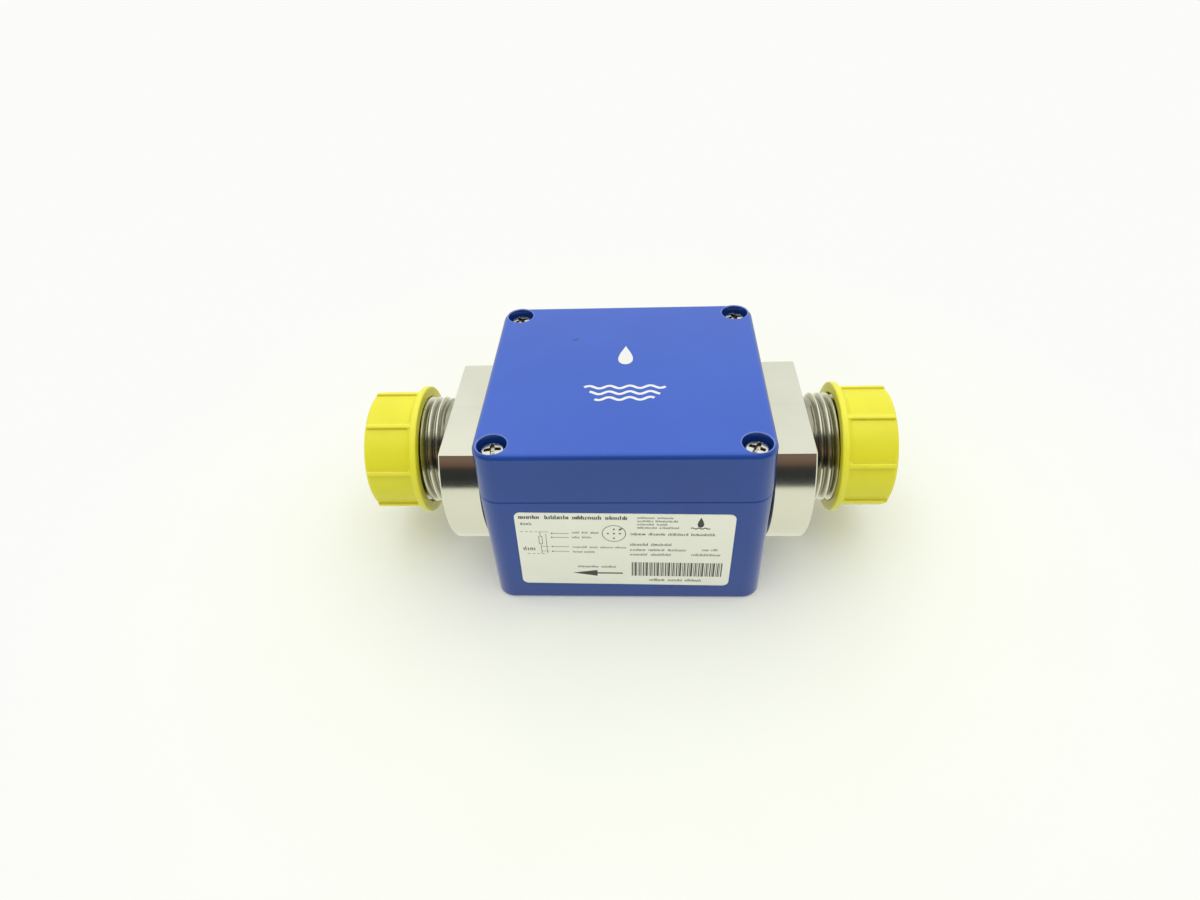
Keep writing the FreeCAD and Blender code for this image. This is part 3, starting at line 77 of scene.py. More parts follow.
# Sizes of the same pieces that a box doesn't tell.
FLAT_Z = 16.5
SHOULDER_X = 53.0
RELIEF_R = 15.2
SOCKET_R = 11.1
THREAD_R = 16.62
THREAD_PITCH = 2.309
BORE_R = 9.5
SINK_R, HEAD_R = 4.2, 3.4
CAP_BORE, CAP_WALL_R, CAP_RIB_R, CAP_LIP_R, CAP_FLOOR = 16.70, 18.15, 19.0, 19.9, 2.2
DRAFT = math.radians(0.6)
LABEL_TILT = math.radians(1.0)
LABEL_X, LABEL_Z, LABEL_THICK = -0.35, 21.6, 0.15
LABEL_FACE_Y = -37.301
INK_LIFT = 0.012


# ---------------------------------------------------------------- material helpers
class Nodes:
    """Short ways to add and join the nodes of one material or world."""

    def __init__(self, tree):
        self.nodes = tree.nodes
        self.links = tree.links

    def feed(self, socket, value):
        """Link a socket's value in, or set it where the value is a plain number or colour."""
        if isinstance(value, tuple):
            socket.default_value = (*value, 1.0)
        elif isinstance(value, (int, float)):
            socket.default_value = value
        else:
            self.links.new(value, socket)

    def split(self, source):
        node = self.nodes.new("ShaderNodeSeparateXYZ")
        self.links.new(source, node.inputs["Vector"])
        return node.outputs

    def maths(self, operation, *values, clamp=False):
        node = self.nodes.new("ShaderNodeMath")
        node.operation = operation
        node.use_clamp = clamp
        for socket, value in zip(node.inputs, values):
            self.feed(socket, value)
        return node.outputs["Value"]

    def remap(self, value, low, high, to_low, to_high, eased=False):
        node = self.nodes.new("ShaderNodeMapRange")
        if eased:
            node.interpolation_type = "SMOOTHSTEP"
        limits = {"From Min": low, "From Max": high, "To Min": to_low, "To Max": to_high}
        for socket, number in limits.items():
            node.inputs[socket].default_value = number
        self.links.new(value, node.inputs["Value"])
        return node.outputs["Result"]

    def blend_colours(self, factor, first, second):
        node = self.nodes.new("ShaderNodeMix")
        node.data_type = "RGBA"
        self.links.new(factor, node.inputs["Factor"])
        for name, colour in (("A", first), ("B", second)):
            self.feed([s for s in node.inputs if s.name == name and s.type == "RGBA"][0], colour)
        return [s for s in node.outputs if s.type == "RGBA"][0]


class Look(Nodes):
    """A Principled material under construction; patterns run in the object's own coordinates."""

    def __init__(self, name, colour, roughness, metallic=0.0, **settings):
        self.material = bpy.data.materials.new(name)
        self.material.use_nodes = True
        super().__init__(self.material.node_tree)
        self.shader = self.nodes["Principled BSDF"]
        self.set("Base Color", (*colour, 1.0))
        self.set("Roughness", roughness)
        self.set("Metallic", metallic)
        for socket, value in settings.items():
            self.set(socket.replace("_", " "), value)
        self.place = self.nodes.new("ShaderNodeTexCoord").outputs["Object"]
        self.normal = None

    def set(self, socket, value):
        self.shader.inputs[socket].default_value = value

    def noise(self, scale, detail=3.0, roughness=0.5, source=None):
        """Noise of so many features a metre, or of three such numbers along X, Y and Z."""
        mapping = self.nodes.new("ShaderNodeMapping")
        mapping.inputs["Scale"].default_value = scale if isinstance(scale, tuple) else (scale,) * 3
        self.links.new(source or self.place, mapping.inputs["Vector"])
        texture = self.nodes.new("ShaderNodeTexNoise")
        texture.inputs["Scale"].default_value = 1.0
        texture.inputs["Detail"].default_value = detail
        texture.inputs["Roughness"].default_value = roughness
        self.links.new(mapping.outputs["Vector"], texture.inputs["Vector"])
        return texture.outputs["Fac"]

    def spread(self, noise, low=0.0, high=1.0):
        """The middle of a noise, where nearly all of its values lie, stretched from low to high."""
        return self.remap(noise, 0.3, 0.7, low, high)

    def colour(self, value):
        self.links.new(value, self.shader.inputs["Base Color"])

    def roughness(self, value):
        self.links.new(value, self.shader.inputs["Roughness"])

    def bump(self, height, distance, strength=1.0):
        """Add one bump layer; distance in millimetres."""
        node = self.nodes.new("ShaderNodeBump")
        node.inputs["Strength"].default_value = strength
        node.inputs["Distance"].default_value = distance * MM
        self.links.new(height, node.inputs["Height"])
        if self.normal:
            self.links.new(self.normal, node.inputs["Normal"])
        self.normal = node.outputs["Normal"]
        self.links.new(self.normal, self.shader.inputs["Normal"])

    def upward(self, low, high):
        """0 on faces whose upright share of the normal is low or less, 1 from high on."""
        normal = self.nodes.new("ShaderNodeTexCoord").outputs["Normal"]
        return self.remap(self.split(normal)["Z"], low, high, 0.0, 1.0)

    def axis_parts(self, centre_z):
        """Position along X, and distance from the line y = 0, z = centre_z, in metres."""
        parts = self.split(self.place)
        up = self.maths("SUBTRACT", parts["Z"], centre_z * MM)
        back_square = self.maths("POWER", parts["Y"], 2.0)
        up_square = self.maths("MULTIPLY", up, up)
        return parts["X"], self.maths("SQRT", self.maths("ADD", back_square, up_square))

    def plane(self, x, y):
        """A point of a pattern's own plane."""
        node = self.nodes.new("ShaderNodeCombineXYZ")
        self.links.new(x, node.inputs["X"])
        self.links.new(y, node.inputs["Y"])
        return node.outputs["Vector"]


def paint_look():
    """Gloss powder paint: fine orange peel, uneven gloss; painted light on upward faces, painted
    shade on upright ones.
    """
    look = Look("blue_powder_paint", (0.010, 0.070, 0.420), 0.20,
                Coat_Weight=0.15, Coat_Roughness=0.08)
    look.set("Specular IOR Level", 0.42)
    cloud = look.spread(look.noise(45.0, 2.0))
    # painted light and shade: upright faces take the darker blue, upward faces the paler blue
    upright = look.blend_colours(cloud, (0.009, 0.053, 0.290), (0.010, 0.058, 0.315))
    upward = look.blend_colours(cloud, (0.022, 0.092, 0.500), (0.026, 0.100, 0.530))
    look.colour(look.blend_colours(look.upward(0.60, 0.98), upright, upward))
    fine = look.noise(1600.0, 2.0)
    look.roughness(look.spread(fine, 0.17, 0.27))
    look.bump(look.noise(620.0, 2.0), 0.012, 0.55)
    look.bump(fine, 0.004, 0.4)
    return look.material


def steel_look():
    """Turned stainless steel: tool lines round the pipe's axis, soft stains, painted shade in the
    thread roots.
    """
    look = Look("turned_stainless", (0.700, 0.700, 0.610), 0.20, 1.0,
                Anisotropic=0.55, Anisotropic_Rotation=0.25)
    along, radius = look.axis_parts(PIPE_Z)
    lines = look.noise((2600.0, 2600.0, 1.0), 4.0, 0.7, look.plane(along, radius))
    broad = look.noise((420.0, 420.0, 1.0), 2.0, 0.5, look.plane(along, radius))
    stain = look.noise(70.0, 3.0)
    look.roughness(look.remap(look.maths("ADD", lines, stain), 0.7, 1.3, 0.13, 0.25))
    unshaded_steel = look.blend_colours(look.spread(stain), (0.700, 0.700, 0.605), (0.735, 0.735, 0.645))
    # painted shade: the steel turns dark from the crest down to the relief radius, in the thread's
    # roots
    height = look.remap(radius, RELIEF_R * MM, (THREAD_R - 0.07) * MM, 0.0, 1.0)
    look.colour(look.blend_colours(height, (0.34, 0.33, 0.26), unshaded_steel))
    look.bump(lines, 0.0035, 0.6)
    look.bump(broad, 0.004, 0.4)
    tangent = look.nodes.new("ShaderNodeTangent")
    tangent.direction_type = "RADIAL"
    tangent.axis = "X"
    look.links.new(tangent.outputs["Tangent"], look.shader.inputs["Tangent"])
    return look.material


def cap_look():
    """Soft moulded plastic: sheen streaks, flow marks, painted highlight on the rib crests, painted
    shade at the ribs' feet.
    """
    look = Look("yellow_moulding", (0.800, 0.755, 0.020), 0.36,
                Subsurface_Weight=0.20, Subsurface_Scale=0.0020)
    look.set("Subsurface Radius", (1.0, 0.8, 0.2))
    cloud = look.noise(60.0, 3.0)
    wall = look.blend_colours(look.spread(cloud), (0.775, 0.725, 0.016), (0.815, 0.775, 0.024))
    along, radius = look.axis_parts(PIPE_Z)
    collar_end = CAP_LOW.x + 3.0
    outward = look.maths("ABSOLUTE", along)
    ribbed = look.remap(outward, collar_end * MM, (collar_end + 0.3) * MM, 0.0, 0.75)
    # painted shade: a darker orange-brown where the ribs meet the wall
    over_wall = look.remap(radius, (CAP_WALL_R + 0.02) * MM, (CAP_WALL_R + 0.15) * MM, 0.0, 1.0)
    under_crest = look.remap(radius, (CAP_RIB_R - 0.15) * MM, (CAP_RIB_R - 0.40) * MM, 0.0, 1.0)
    foot = look.maths("MINIMUM", over_wall, under_crest)
    painted_foot_shade = look.blend_colours(look.maths("MULTIPLY", foot, ribbed), wall, (0.560, 0.430, 0.008))
    # painted highlight: a paler yellow along the rib crests
    crest = look.remap(radius, (CAP_RIB_R - 0.20) * MM, (CAP_RIB_R - 0.02) * MM, 0.0, 1.0)
    look.colour(look.blend_colours(crest, painted_foot_shade, (0.840, 0.800, 0.045)))
    grain = look.noise(1400.0, 3.0)
    look.roughness(look.remap(look.maths("ADD", grain, cloud), 0.7, 1.3, 0.28, 0.44))
    look.bump(look.noise((180.0, 420.0, 420.0), 2.0), 0.03, 0.5)
    look.bump(grain, 0.006, 0.35)
    return look.material


def rubber_look():
    look = Look("black_rubber", (0.022, 0.020, 0.020), 0.62)
    grain = look.noise(1800.0, 3.0)
    look.roughness(look.spread(grain, 0.52, 0.74))
    look.bump(grain, 0.012, 0.5)
    return look.material


def film_look():
    """Satin label film with a little grain and faint rubbing."""
    look = Look("label_film", (0.920, 0.938, 0.832), 0.42)
    grain = look.noise(2200.0, 2.0)
    rub = look.noise(80.0, 3.0)
    rubbed = look.remap(rub, 0.35, 0.7, 0.0, 1.0)
    look.colour(look.blend_colours(rubbed, (0.905, 0.924, 0.818), (0.932, 0.947, 0.845)))
    look.roughness(look.remap(look.maths("ADD", grain, rub), 0.7, 1.3, 0.34, 0.50))
    look.bump(grain, 0.003, 0.4)
    return look.material


def ink_look(name, colour, roughness):
    look = Look(name, colour, roughness)
    grain = look.noise(2600.0, 2.0)
    paler = tuple(min(1.0, c * 1.06 + 0.004) for c in colour)
    look.colour(look.blend_colours(look.spread(grain), colour, paler))
    look.roughness(look.spread(grain, roughness - 0.06, roughness + 0.06))
    look.bump(grain, 0.002, 0.3)
    return look.material


def grained_look(name, colour, roughness, metallic, darkest, spread, grain_scale, depth):
    """A plain material with one fine grain in its colour, gloss and surface."""
    look = Look(name, colour, roughness, metallic)
    grain = look.noise(grain_scale, 3.0)
    darker = tuple(c * darkest for c in colour)
    look.colour(look.blend_colours(look.spread(grain), darker, colour))
    look.roughness(look.spread(grain, roughness - spread, roughness + spread))
    look.bump(grain, depth, 0.5)
    return look.material


def metal_look(name, colour, roughness, spread, grain_scale=900.0, depth=0.004):
    return grained_look(name, colour, roughness, 1.0, 0.9, spread, grain_scale, depth)


def plastic_look(name, colour, roughness, grain_scale=1500.0, depth=0.006):
    return grained_look(name, colour, roughness, 0.0, 0.92, 0.08, grain_scale, depth)


def screw_look():
    """Bright steel, with painted shade on its steep faces, as in the cross recess."""
    look = Look("bright_screw_steel", (0.72, 0.71, 0.66), 0.24, 1.0)
    grain = look.noise(900.0, 3.0)
    face = look.blend_colours(look.spread(grain), (0.67, 0.66, 0.61), (0.75, 0.74, 0.69))
    # painted shade: steep faces, such as the cross recess walls, turn dark brown
    look.colour(look.blend_colours(look.upward(0.45, 0.92), (0.26, 0.23, 0.15), face))
    look.roughness(look.spread(grain, 0.17, 0.31))
    look.bump(grain, 0.004, 0.5)
    return look.material


def winding_look():
    """Enamelled wire wound round a vertical core."""
    look = Look("copper_winding", (0.560, 0.190, 0.060), 0.32, 1.0)
    wire = 0.25 * MM
    level = look.split(look.place)["Z"]
    turns = look.maths("SINE", look.maths("MULTIPLY", level, 2 * math.pi / wire))
    look.roughness(look.spread(look.noise(700.0, 2.0), 0.24, 0.40))
    look.bump(turns, 0.05, 0.8)
    return look.material


PAINT, STEEL, CAP = paint_look(), steel_look(), cap_look()
SLOT_LOOKS = {
    "blue_paint": PAINT,
    "stainless": STEEL,
    "yellow_plastic": CAP,
    "black_rubber": rubber_look(),
    "label_film": film_look(),
    "screw_steel": screw_look(),
    "tube_plastic": plastic_look("tube_plastic", (0.45, 0.36, 0.24), 0.45),
    "magnet_iron": metal_look("oiled_iron", (0.25, 0.25, 0.26), 0.42, 0.10, 500.0, 0.02),
    "zinc_steel": metal_look("zinc_steel", (0.58, 0.59, 0.61), 0.34, 0.09, 300.0, 0.004),
    "copper_winding": winding_look(),
    "white_plastic": plastic_look("white_plastic", (0.72, 0.72, 0.70), 0.45),
    "board_green": plastic_look("board_green", (0.02, 0.16, 0.06), 0.35, 900.0, 0.01),
    "black_plastic": plastic_look("black_plastic", (0.025, 0.025, 0.028), 0.45),
    "capacitor_body": plastic_look("capacitor_body", (0.62, 0.36, 0.06), 0.35),
    "nickel_brass": metal_look("nickel_brass", (0.62, 0.60, 0.54), 0.25, 0.08),
    "gold_pins": metal_look("gold_pins", (0.80, 0.58, 0.22), 0.22, 0.06),
}
# painted highlight: a paler blue for the counterbore rims, for the light line round each hole
RIM_HIGHLIGHT_PAINT = plastic_look("rim_highlight_blue_paint", (0.150, 0.230, 0.640), 0.28)
WHITE_INK = ink_look("white_ink", (0.74, 0.75, 0.74), 0.38)
DARK_INK = ink_look("dark_ink", (0.045, 0.045, 0.040), 0.48)
GREY_INK = ink_look("grey_ink", (0.110, 0.110, 0.095), 0.50)

for part in frame["record"]["subparts"]:
    cad_object = frame["nodes"][part["node"]]
    cad_object.data.materials.clear()
    cad_object.data.materials.append(SLOT_LOOKS[part["material_slot"]])


# ---------------------------------------------------------------- mesh helpers
def finish_mesh(name, work, material, body, sharp=30.0, weld=0.0005):
    """Turn a bmesh in millimetres into a piece on a body, shaded sharp at steep and open edges."""
    bmesh.ops.remove_doubles(work, verts=work.verts, dist=weld)
    bmesh.ops.dissolve_degenerate(work, edges=work.edges, dist=weld)
    for face in work.faces:
        face.smooth = True
    for edge in work.edges:
        if len(edge.link_faces) != 2 or edge.calc_face_angle(0.0) > math.radians(sharp):
            edge.smooth = False
    bmesh.ops.scale(work, vec=(MM, MM, MM), verts=work.verts)
    mesh = bpy.data.meshes.new(name)
    work.to_mesh(mesh)
    work.free()
    mesh.materials.append(material)
    piece = bpy.data.objects.new(name, mesh)
    bpy.context.scene.collection.objects.link(piece)
    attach(piece, body)
    return piece


def skin(work, rows, closed=True):
    """Quads between rows of points that have the same number of points each."""
    rings = [[work.verts.new(point) for point in row] for row in rows]
    count = len(rings[0])
    for first, second in zip(rings, rings[1:]):
        for index in range(count if closed else count - 1):
            following = (index + 1) % count
            corners = (first[index], first[following], second[following], second[index])
            work.faces.new(corners)


def on_ring(x, radius, angle):
    return Vector((x, radius * math.cos(angle), radius * math.sin(angle)))


def lathe(work, profile, angles, limit=None):
    """Turn (x, radius) pairs about the X axis.  limit(radius, angle) may cut a radius short."""
    rows = []
    for x, radius in profile:
        rows.append([on_ring(x, limit(radius, angle) if limit else radius, angle)
                     for angle in angles])
    skin(work, rows)


def even_angles(count, extra=()):
    """Even steps of a turn, and the extra angles in place of the even ones they crowd."""
    crowded = math.radians(0.9)
    angles = [2 * math.pi * index / count for index in range(count)]
    angles = [angle for angle in angles if all(abs(angle - other) > crowded for other in extra)]
    return sorted(set(round(a % (2 * math.pi), 9) for a in angles + list(extra)))


def arc_points(centre, radius, start, end, steps):
    """Points of an arc in the (x, radius) plane, degrees, from start to end."""
    points = []
    for index in range(steps + 1):
        angle = math.radians(start + (end - start) * index / steps)
        points.append((centre[0] + radius * math.cos(angle), centre[1] + radius * math.sin(angle)))
    return points


def move(work, matrix):
    bmesh.ops.transform(work, matrix=matrix, verts=work.verts)


def to_pipe(side):
    """From the local frame of a fitting to the inlet side (1) or the outlet side (-1)."""
    turn = Matrix.Rotation(0.0 if side > 0 else math.pi, 4, "Z")
    return Matrix.Translation((0, 0, PIPE_Z)) @ turn


def thread(work, start, end, crest, root, pitch, lead_in, run_out, steps, rows, ahead=0.0):
    """Skin of a right-handed thread on the X axis; ahead shifts it by a share of the pitch."""
    depth = crest - root
    root_flat, flank_share, softness = 0.14, 0.70, 0.45
    lines = []
    count = int(math.ceil((end - start) / pitch) + 1) * rows
    for row in range(count + 1):
        offset = start - pitch + pitch * row / rows
        line = []
        for step in range(steps + 1):
            share = step / steps
            x = min(max(offset + pitch * share, start), end)
            phase = ((x - pitch * share - start) / pitch - ahead) % 1.0
            flank = min(1.0, max(0.0, (1 - abs(2 * phase - 1) - root_flat) / flank_share))
            flank = (1 - softness) * flank + softness * (0.5 - 0.5 * math.cos(math.pi * flank))
            radius = root + depth * flank
            radius = min(radius, root + depth * max(0.0, (x - start) / run_out - 1.0))
            radius = min(radius, crest - depth * max(0.0, 1.0 - (end - x) / lead_in))
            line.append(on_ring(x, radius, 2 * math.pi * share))
        lines.append(line)
    skin(work, lines, closed=False)


# ---------------------------------------------------------------- pipe fittings
def make_fitting(name, node, side, ahead):
    """Flange with a milled flat, thread relief, G1 thread and bore."""
    work = bmesh.new()
    chamfer, mouth, ridge_round = 0.4, 0.8, 0.12
    relief_turn, relief_end = SHOULDER_X + 0.35, SHOULDER_X + 1.3
    socket_floor = FLANGE_X + 8.0
    corners = [math.asin(FLAT_Z / radius) for radius in (FLANGE_R, FLANGE_R - chamfer)]
    angles = even_angles(144, corners + [math.pi - corner for corner in corners])

    def below_flat(radius, angle):
        height = radius * math.sin(angle)
        return radius if height <= FLAT_Z else FLAT_Z / math.sin(angle)

    lathe(work, [
        (FLANGE_X, SOCKET_R), (FLANGE_X, FLANGE_R - chamfer), (FLANGE_X + chamfer, FLANGE_R),
        (SHOULDER_X - chamfer, FLANGE_R), (SHOULDER_X, FLANGE_R - chamfer),
        (SHOULDER_X, RELIEF_R + 0.9), (SHOULDER_X, RELIEF_R + 0.35), (relief_turn, RELIEF_R),
    ], angles, below_flat)
    bmesh.ops.remove_doubles(work, verts=work.verts, dist=0.001)
    # a chamfer face that has three corners on the flat is split along the flat's edge
    for face in list(work.faces):
        under = [corner for corner in face.verts if corner.co.z < FLAT_Z - 0.001]
        if len(face.verts) == 4 and len(under) == 1:
            ends = [edge.other_vert(under[0]) for edge in face.edges if under[0] in edge.verts]
            bmesh.utils.face_split(face, ends[0], ends[1])
    ridge = [edge for edge in work.edges
             if len(edge.link_faces) == 2 and edge.calc_face_angle() > math.radians(50)
             and all(v.co.z > FLAT_Z - 0.01 for v in edge.verts)]
    rounded = bmesh.ops.bevel(work, geom=ridge, offset=ridge_round, segments=2, profile=0.5,
                              affect="EDGES")["faces"]
    for face in rounded:
        for edge in face.edges:
            edge.smooth = all(neighbour in rounded for neighbour in edge.link_faces)
    lathe(work, [(relief_turn, RELIEF_R), (relief_end, RELIEF_R)], angles)
    thread(work, relief_end, THREAD_END_X, THREAD_R, RELIEF_R, THREAD_PITCH,
           lead_in=1.3, run_out=0.5, steps=160, rows=12, ahead=ahead)
    lathe(work, [
        (THREAD_END_X, RELIEF_R), (THREAD_END_X, BORE_R + mouth), (THREAD_END_X - mouth, BORE_R),
        (socket_floor, BORE_R), (socket_floor, SOCKET_R), (FLANGE_X, SOCKET_R),
    ], even_angles(96))
    move(work, to_pipe(side))
    piece = finish_mesh(name, work, STEEL, "root", sharp=38.0)
    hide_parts(node)


make_fitting("inlet_end_threaded", "inlet_fitting", 1, 2 / 12)
make_fitting("outlet_end_threaded", "outlet_fitting", -1, 4 / 12)


# ---------------------------------------------------------------- protective caps
def smooth(value):
    value = min(1.0, max(0.0, value))
    return value * value * (3 - 2 * value)


def make_cap(name, node, body, side, turn):
    """Collar at the mouth, eight ribs with rounded shoulders and a rounded closed end."""
    work = bmesh.new()
    mouth, face = CAP_LOW.x, CAP_HIGH.x
    rib_angles = [math.radians(90 + turn + 45 * index) for index in range(8)]
    # half of a rib's section: distance from its middle, share of its height
    section = [(0.0, 1.0), (0.30, 1.0), (0.46, 0.97), (0.59, 0.88), (0.69, 0.72), (0.77, 0.50),
               (0.83, 0.28), (0.92, 0.10), (1.05, 0.0), (1.30, 0.0)]
    offsets = [across for across, share in section] + [-across for across, share in section[1:]]
    extra = [angle + offset / CAP_WALL_R for angle in rib_angles for offset in offsets]
    gaps = [angle + math.radians(share) for angle in rib_angles for share in range(6, 42, 3)]
    angles = sorted(set(round(a % (2 * math.pi), 7) for a in extra + gaps))

    def rib(angle):
        nearest = min(abs((angle - centre + math.pi) % (2 * math.pi) - math.pi)
                      for centre in rib_angles)
        away = nearest * CAP_WALL_R
        for (near, high), (far, low) in zip(section, section[1:]):
            if away <= far:
                return high + (low - high) * (away - near) / (far - near)
        return 0.0

    outside = [(mouth, CAP_BORE + 0.2)]
    outside += arc_points((mouth + 0.45, CAP_LIP_R - 0.45), 0.45, 180, 90, 4)
    outside += arc_points((mouth + 1.55, CAP_LIP_R - 0.35), 0.35, 90, 0, 3)
    outside += [(mouth + 1.95, CAP_WALL_R + 0.95), (mouth + 2.0, CAP_WALL_R + 0.65)]
    outside += arc_points((mouth + 2.6, CAP_WALL_R + 0.25), 0.25, 90, 0, 3)
    outside += arc_points((mouth + 3.15, CAP_WALL_R + 0.25), 0.25, 180, 270, 3)
    outside += [(mouth + 4.0 + step, CAP_WALL_R) for step in range(0, 11)]
    outside += [(face - 1.4, CAP_WALL_R), (face - 1.2, CAP_WALL_R)]
    outside += arc_points((face - 1.2, CAP_WALL_R - 1.2), 1.2, 80, 0, 8)
    rows = []
    for x, radius in outside:
        row = []
        for angle in angles:
            ending = smooth((face - 0.55 - x) / 0.40) if x > mouth + 1.9 else 0.0
            rise = max(0.0, CAP_RIB_R - radius) * rib(angle) * ending
            row.append(on_ring(x, radius + rise, angle))
        rows.append(row)
    skin(work, rows)
    lathe(work, [
        (face, CAP_WALL_R - 1.2), (face, 9.0), (face - 0.12, 8.2), (face - 0.12, 2.2),
        (face - 0.25, 1.6), (face - 0.25, 0.0),
    ], even_angles(96))
    inside = [(mouth, CAP_BORE + 0.2), (mouth + 0.2, CAP_BORE), (face - CAP_FLOOR - 0.5, CAP_BORE),
              (face - CAP_FLOOR, CAP_BORE - 0.5), (face - CAP_FLOOR, 0.0)]
    lathe(work, inside, angles)
    move(work, to_pipe(side))
    piece = finish_mesh(name, work, CAP, body, sharp=42.0)
    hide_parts(node)


make_cap("inlet_thread_cap", "inlet_cap", "inlet_cap_body", 1, 22.8)
make_cap("outlet_thread_cap", "outlet_cap", "outlet_cap_body", -1, 17.0)


# ---------------------------------------------------------------- receptacle at the back
def make_receptacle():
    """Chamfered hexagon, M12 thread and keyed mouth, turned from local +X to the box's +Y."""
    work = bmesh.new()
    hex_low, hex_high = 38.0, 41.0
    end, flats, stem_back = SHELL_HIGH.y, 9.0, SHELL_LOW.y
    root, mouth, stem, stem_bore = 5.45, 4.8, 8.0, 6.2
    edge = math.radians(60)
    angles = even_angles(96)

    def hexagon(angle):
        return flats / math.cos((angle + edge / 2) % edge - edge / 2)

    rows = []
    for x, limit in ((hex_low, 10.1), (hex_low + 0.25, 20.0), (hex_high - 0.75, 20.0),
                     (hex_high, 9.40)):
        rows.append([on_ring(x, min(hexagon(angle + edge / 2), limit), angle) for angle in angles])
    rows.insert(0, [on_ring(hex_low, stem, angle) for angle in angles])
    rows.append([on_ring(hex_high, root, angle) for angle in angles])
    skin(work, rows)
    thread(work, hex_high, end, 6.0, root, 1.0, lead_in=0.6, run_out=0.5, steps=96, rows=10)
    lathe(work, [(end, root), (end, 5.0), (end - 0.25, mouth), (41.3, mouth)], angles)
    lathe(work, [(hex_low, stem), (stem_back, stem), (stem_back, stem_bore),
                 (stem_back + 10.0, stem_bore)], angles)
    key = bmesh.ops.create_cube(work, size=1.0)["verts"]
    bmesh.ops.scale(work, vec=(7.0, 1.4, 0.9), verts=key)
    bmesh.ops.translate(work, vec=(45.0, 0.0, 4.65), verts=key)
    move(work, Matrix.Translation((0, 0, PLUG_Z)) @ Matrix.Rotation(math.pi / 2, 4, "Z"))
    piece = finish_mesh("receptacle_shell", work, SLOT_LOOKS["nickel_brass"], "root")
    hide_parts("connector_shell")


make_receptacle()


# ---------------------------------------------------------------- lid screws
def make_lid_screws():
    """Domed heads with a tapered cross recess, each left at the turn it was tightened to."""
    low, high = node_box("lid_screws")
    head, height, shank = HEAD_R, 2.7, 2.0
    seat, arm, slot, depth = high.z - height, 2.30, 0.60, 1.60
    centres = [(high.x - head, high.y - head), (high.x - head, low.y + head),
               (low.x + head, high.y - head), (low.x + head, low.y + head)]
    work = bmesh.new()

    def dome(radius):
        edge = min(1.0, max(0.0, (radius - 0.80 * head) / (0.20 * head)))
        drop = 0.28 * (radius / head) ** 2
        return height - drop - (0.42 * height - 0.28) * (1 - math.sqrt(1 - edge ** 2))

    def recess(x, y):
        along, across = max(abs(x), abs(y)), min(abs(x), abs(y))
        wall = smooth((slot * (1.12 - 0.22 * along / arm) - across) / 0.16)
        end = smooth((arm - along) / 0.35)
        core = smooth((1.28 - along - across) / 0.22)
        return depth * max(wall * end * (1.0 - 0.35 * along / arm), core * 0.92)

    def surface(radius, angle):
        return seat + dome(radius) - recess(radius * math.cos(angle), radius * math.sin(angle))

    def ring(centre, turn, radius, level):
        """A ring of the screw; level is a height, or a function of radius and angle."""
        points = []
        for angle in (2 * math.pi * step / 160 for step in range(160)):
            z = level(radius, angle) if callable(level) else level
            bearing = angle + math.radians(turn)
            points.append(Vector((centre[0] + radius * math.cos(bearing),
                                  centre[1] + radius * math.sin(bearing), z)))
        return points

    top = [(head * min(1.0, step / 46 + 1e-4), surface) for step in range(47)]
    below = [(head, seat), (shank, seat), (shank, low.z + 0.8), (shank * 0.6, low.z), (0.01, low.z)]
    for centre, turn in zip(centres, (20, 62, 35, 8)):
        skin(work, [ring(centre, turn, radius, level) for radius, level in top + below])
    piece = finish_mesh("cross_head_screws", work, SLOT_LOOKS["screw_steel"], "root",
                        sharp=50.0)
    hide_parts("lid_screws")


make_lid_screws()


def make_counterbore_rims():
    """Bead that the paint forms round the mouth of each counterbore, coloured paler as a painted
    highlight.
    """
    low, high = node_box("lid_screws")
    middle = (high - low) / 2
    # the bead's section: past the counterbore's radius, over the lid
    bead = ((0.22, -0.004), (0.10, 0.008), (-0.05, -0.02), (-0.15, -0.12), (-0.18, -0.25),
            (-0.12, -0.38), (0.01, -0.45))
    work = bmesh.new()
    for side_x, side_y in ((1, 1), (1, -1), (-1, 1), (-1, -1)):
        x = side_x * (middle.x - HEAD_R)
        y = side_y * (middle.y - HEAD_R)
        skin(work, [[Vector((x + (SINK_R + out) * math.cos(angle),
                             y + (SINK_R + out) * math.sin(angle), LID_TOP + up))
                     for angle in even_angles(72)] for out, up in bead])
    finish_mesh("counterbore_rims", work, RIM_HIGHLIGHT_PAINT, "root", sharp=80.0)


make_counterbore_rims()


# ---------------------------------------------------------------- print on the label
def on_label(u, w):
    """A point at (u, w) from the label's middle, in its turned frame, on the box's front wall."""
    x = u * math.cos(LABEL_TILT) + w * math.sin(LABEL_TILT)
    z = w * math.cos(LABEL_TILT) - u * math.sin(LABEL_TILT)
    out = LABEL_THICK + INK_LIFT
    return Vector((
        LABEL_X + x,
        LABEL_FACE_Y - out * math.cos(DRAFT) - z * math.sin(DRAFT),
        LABEL_Z - out * math.sin(DRAFT) + z * math.cos(DRAFT),
    ))


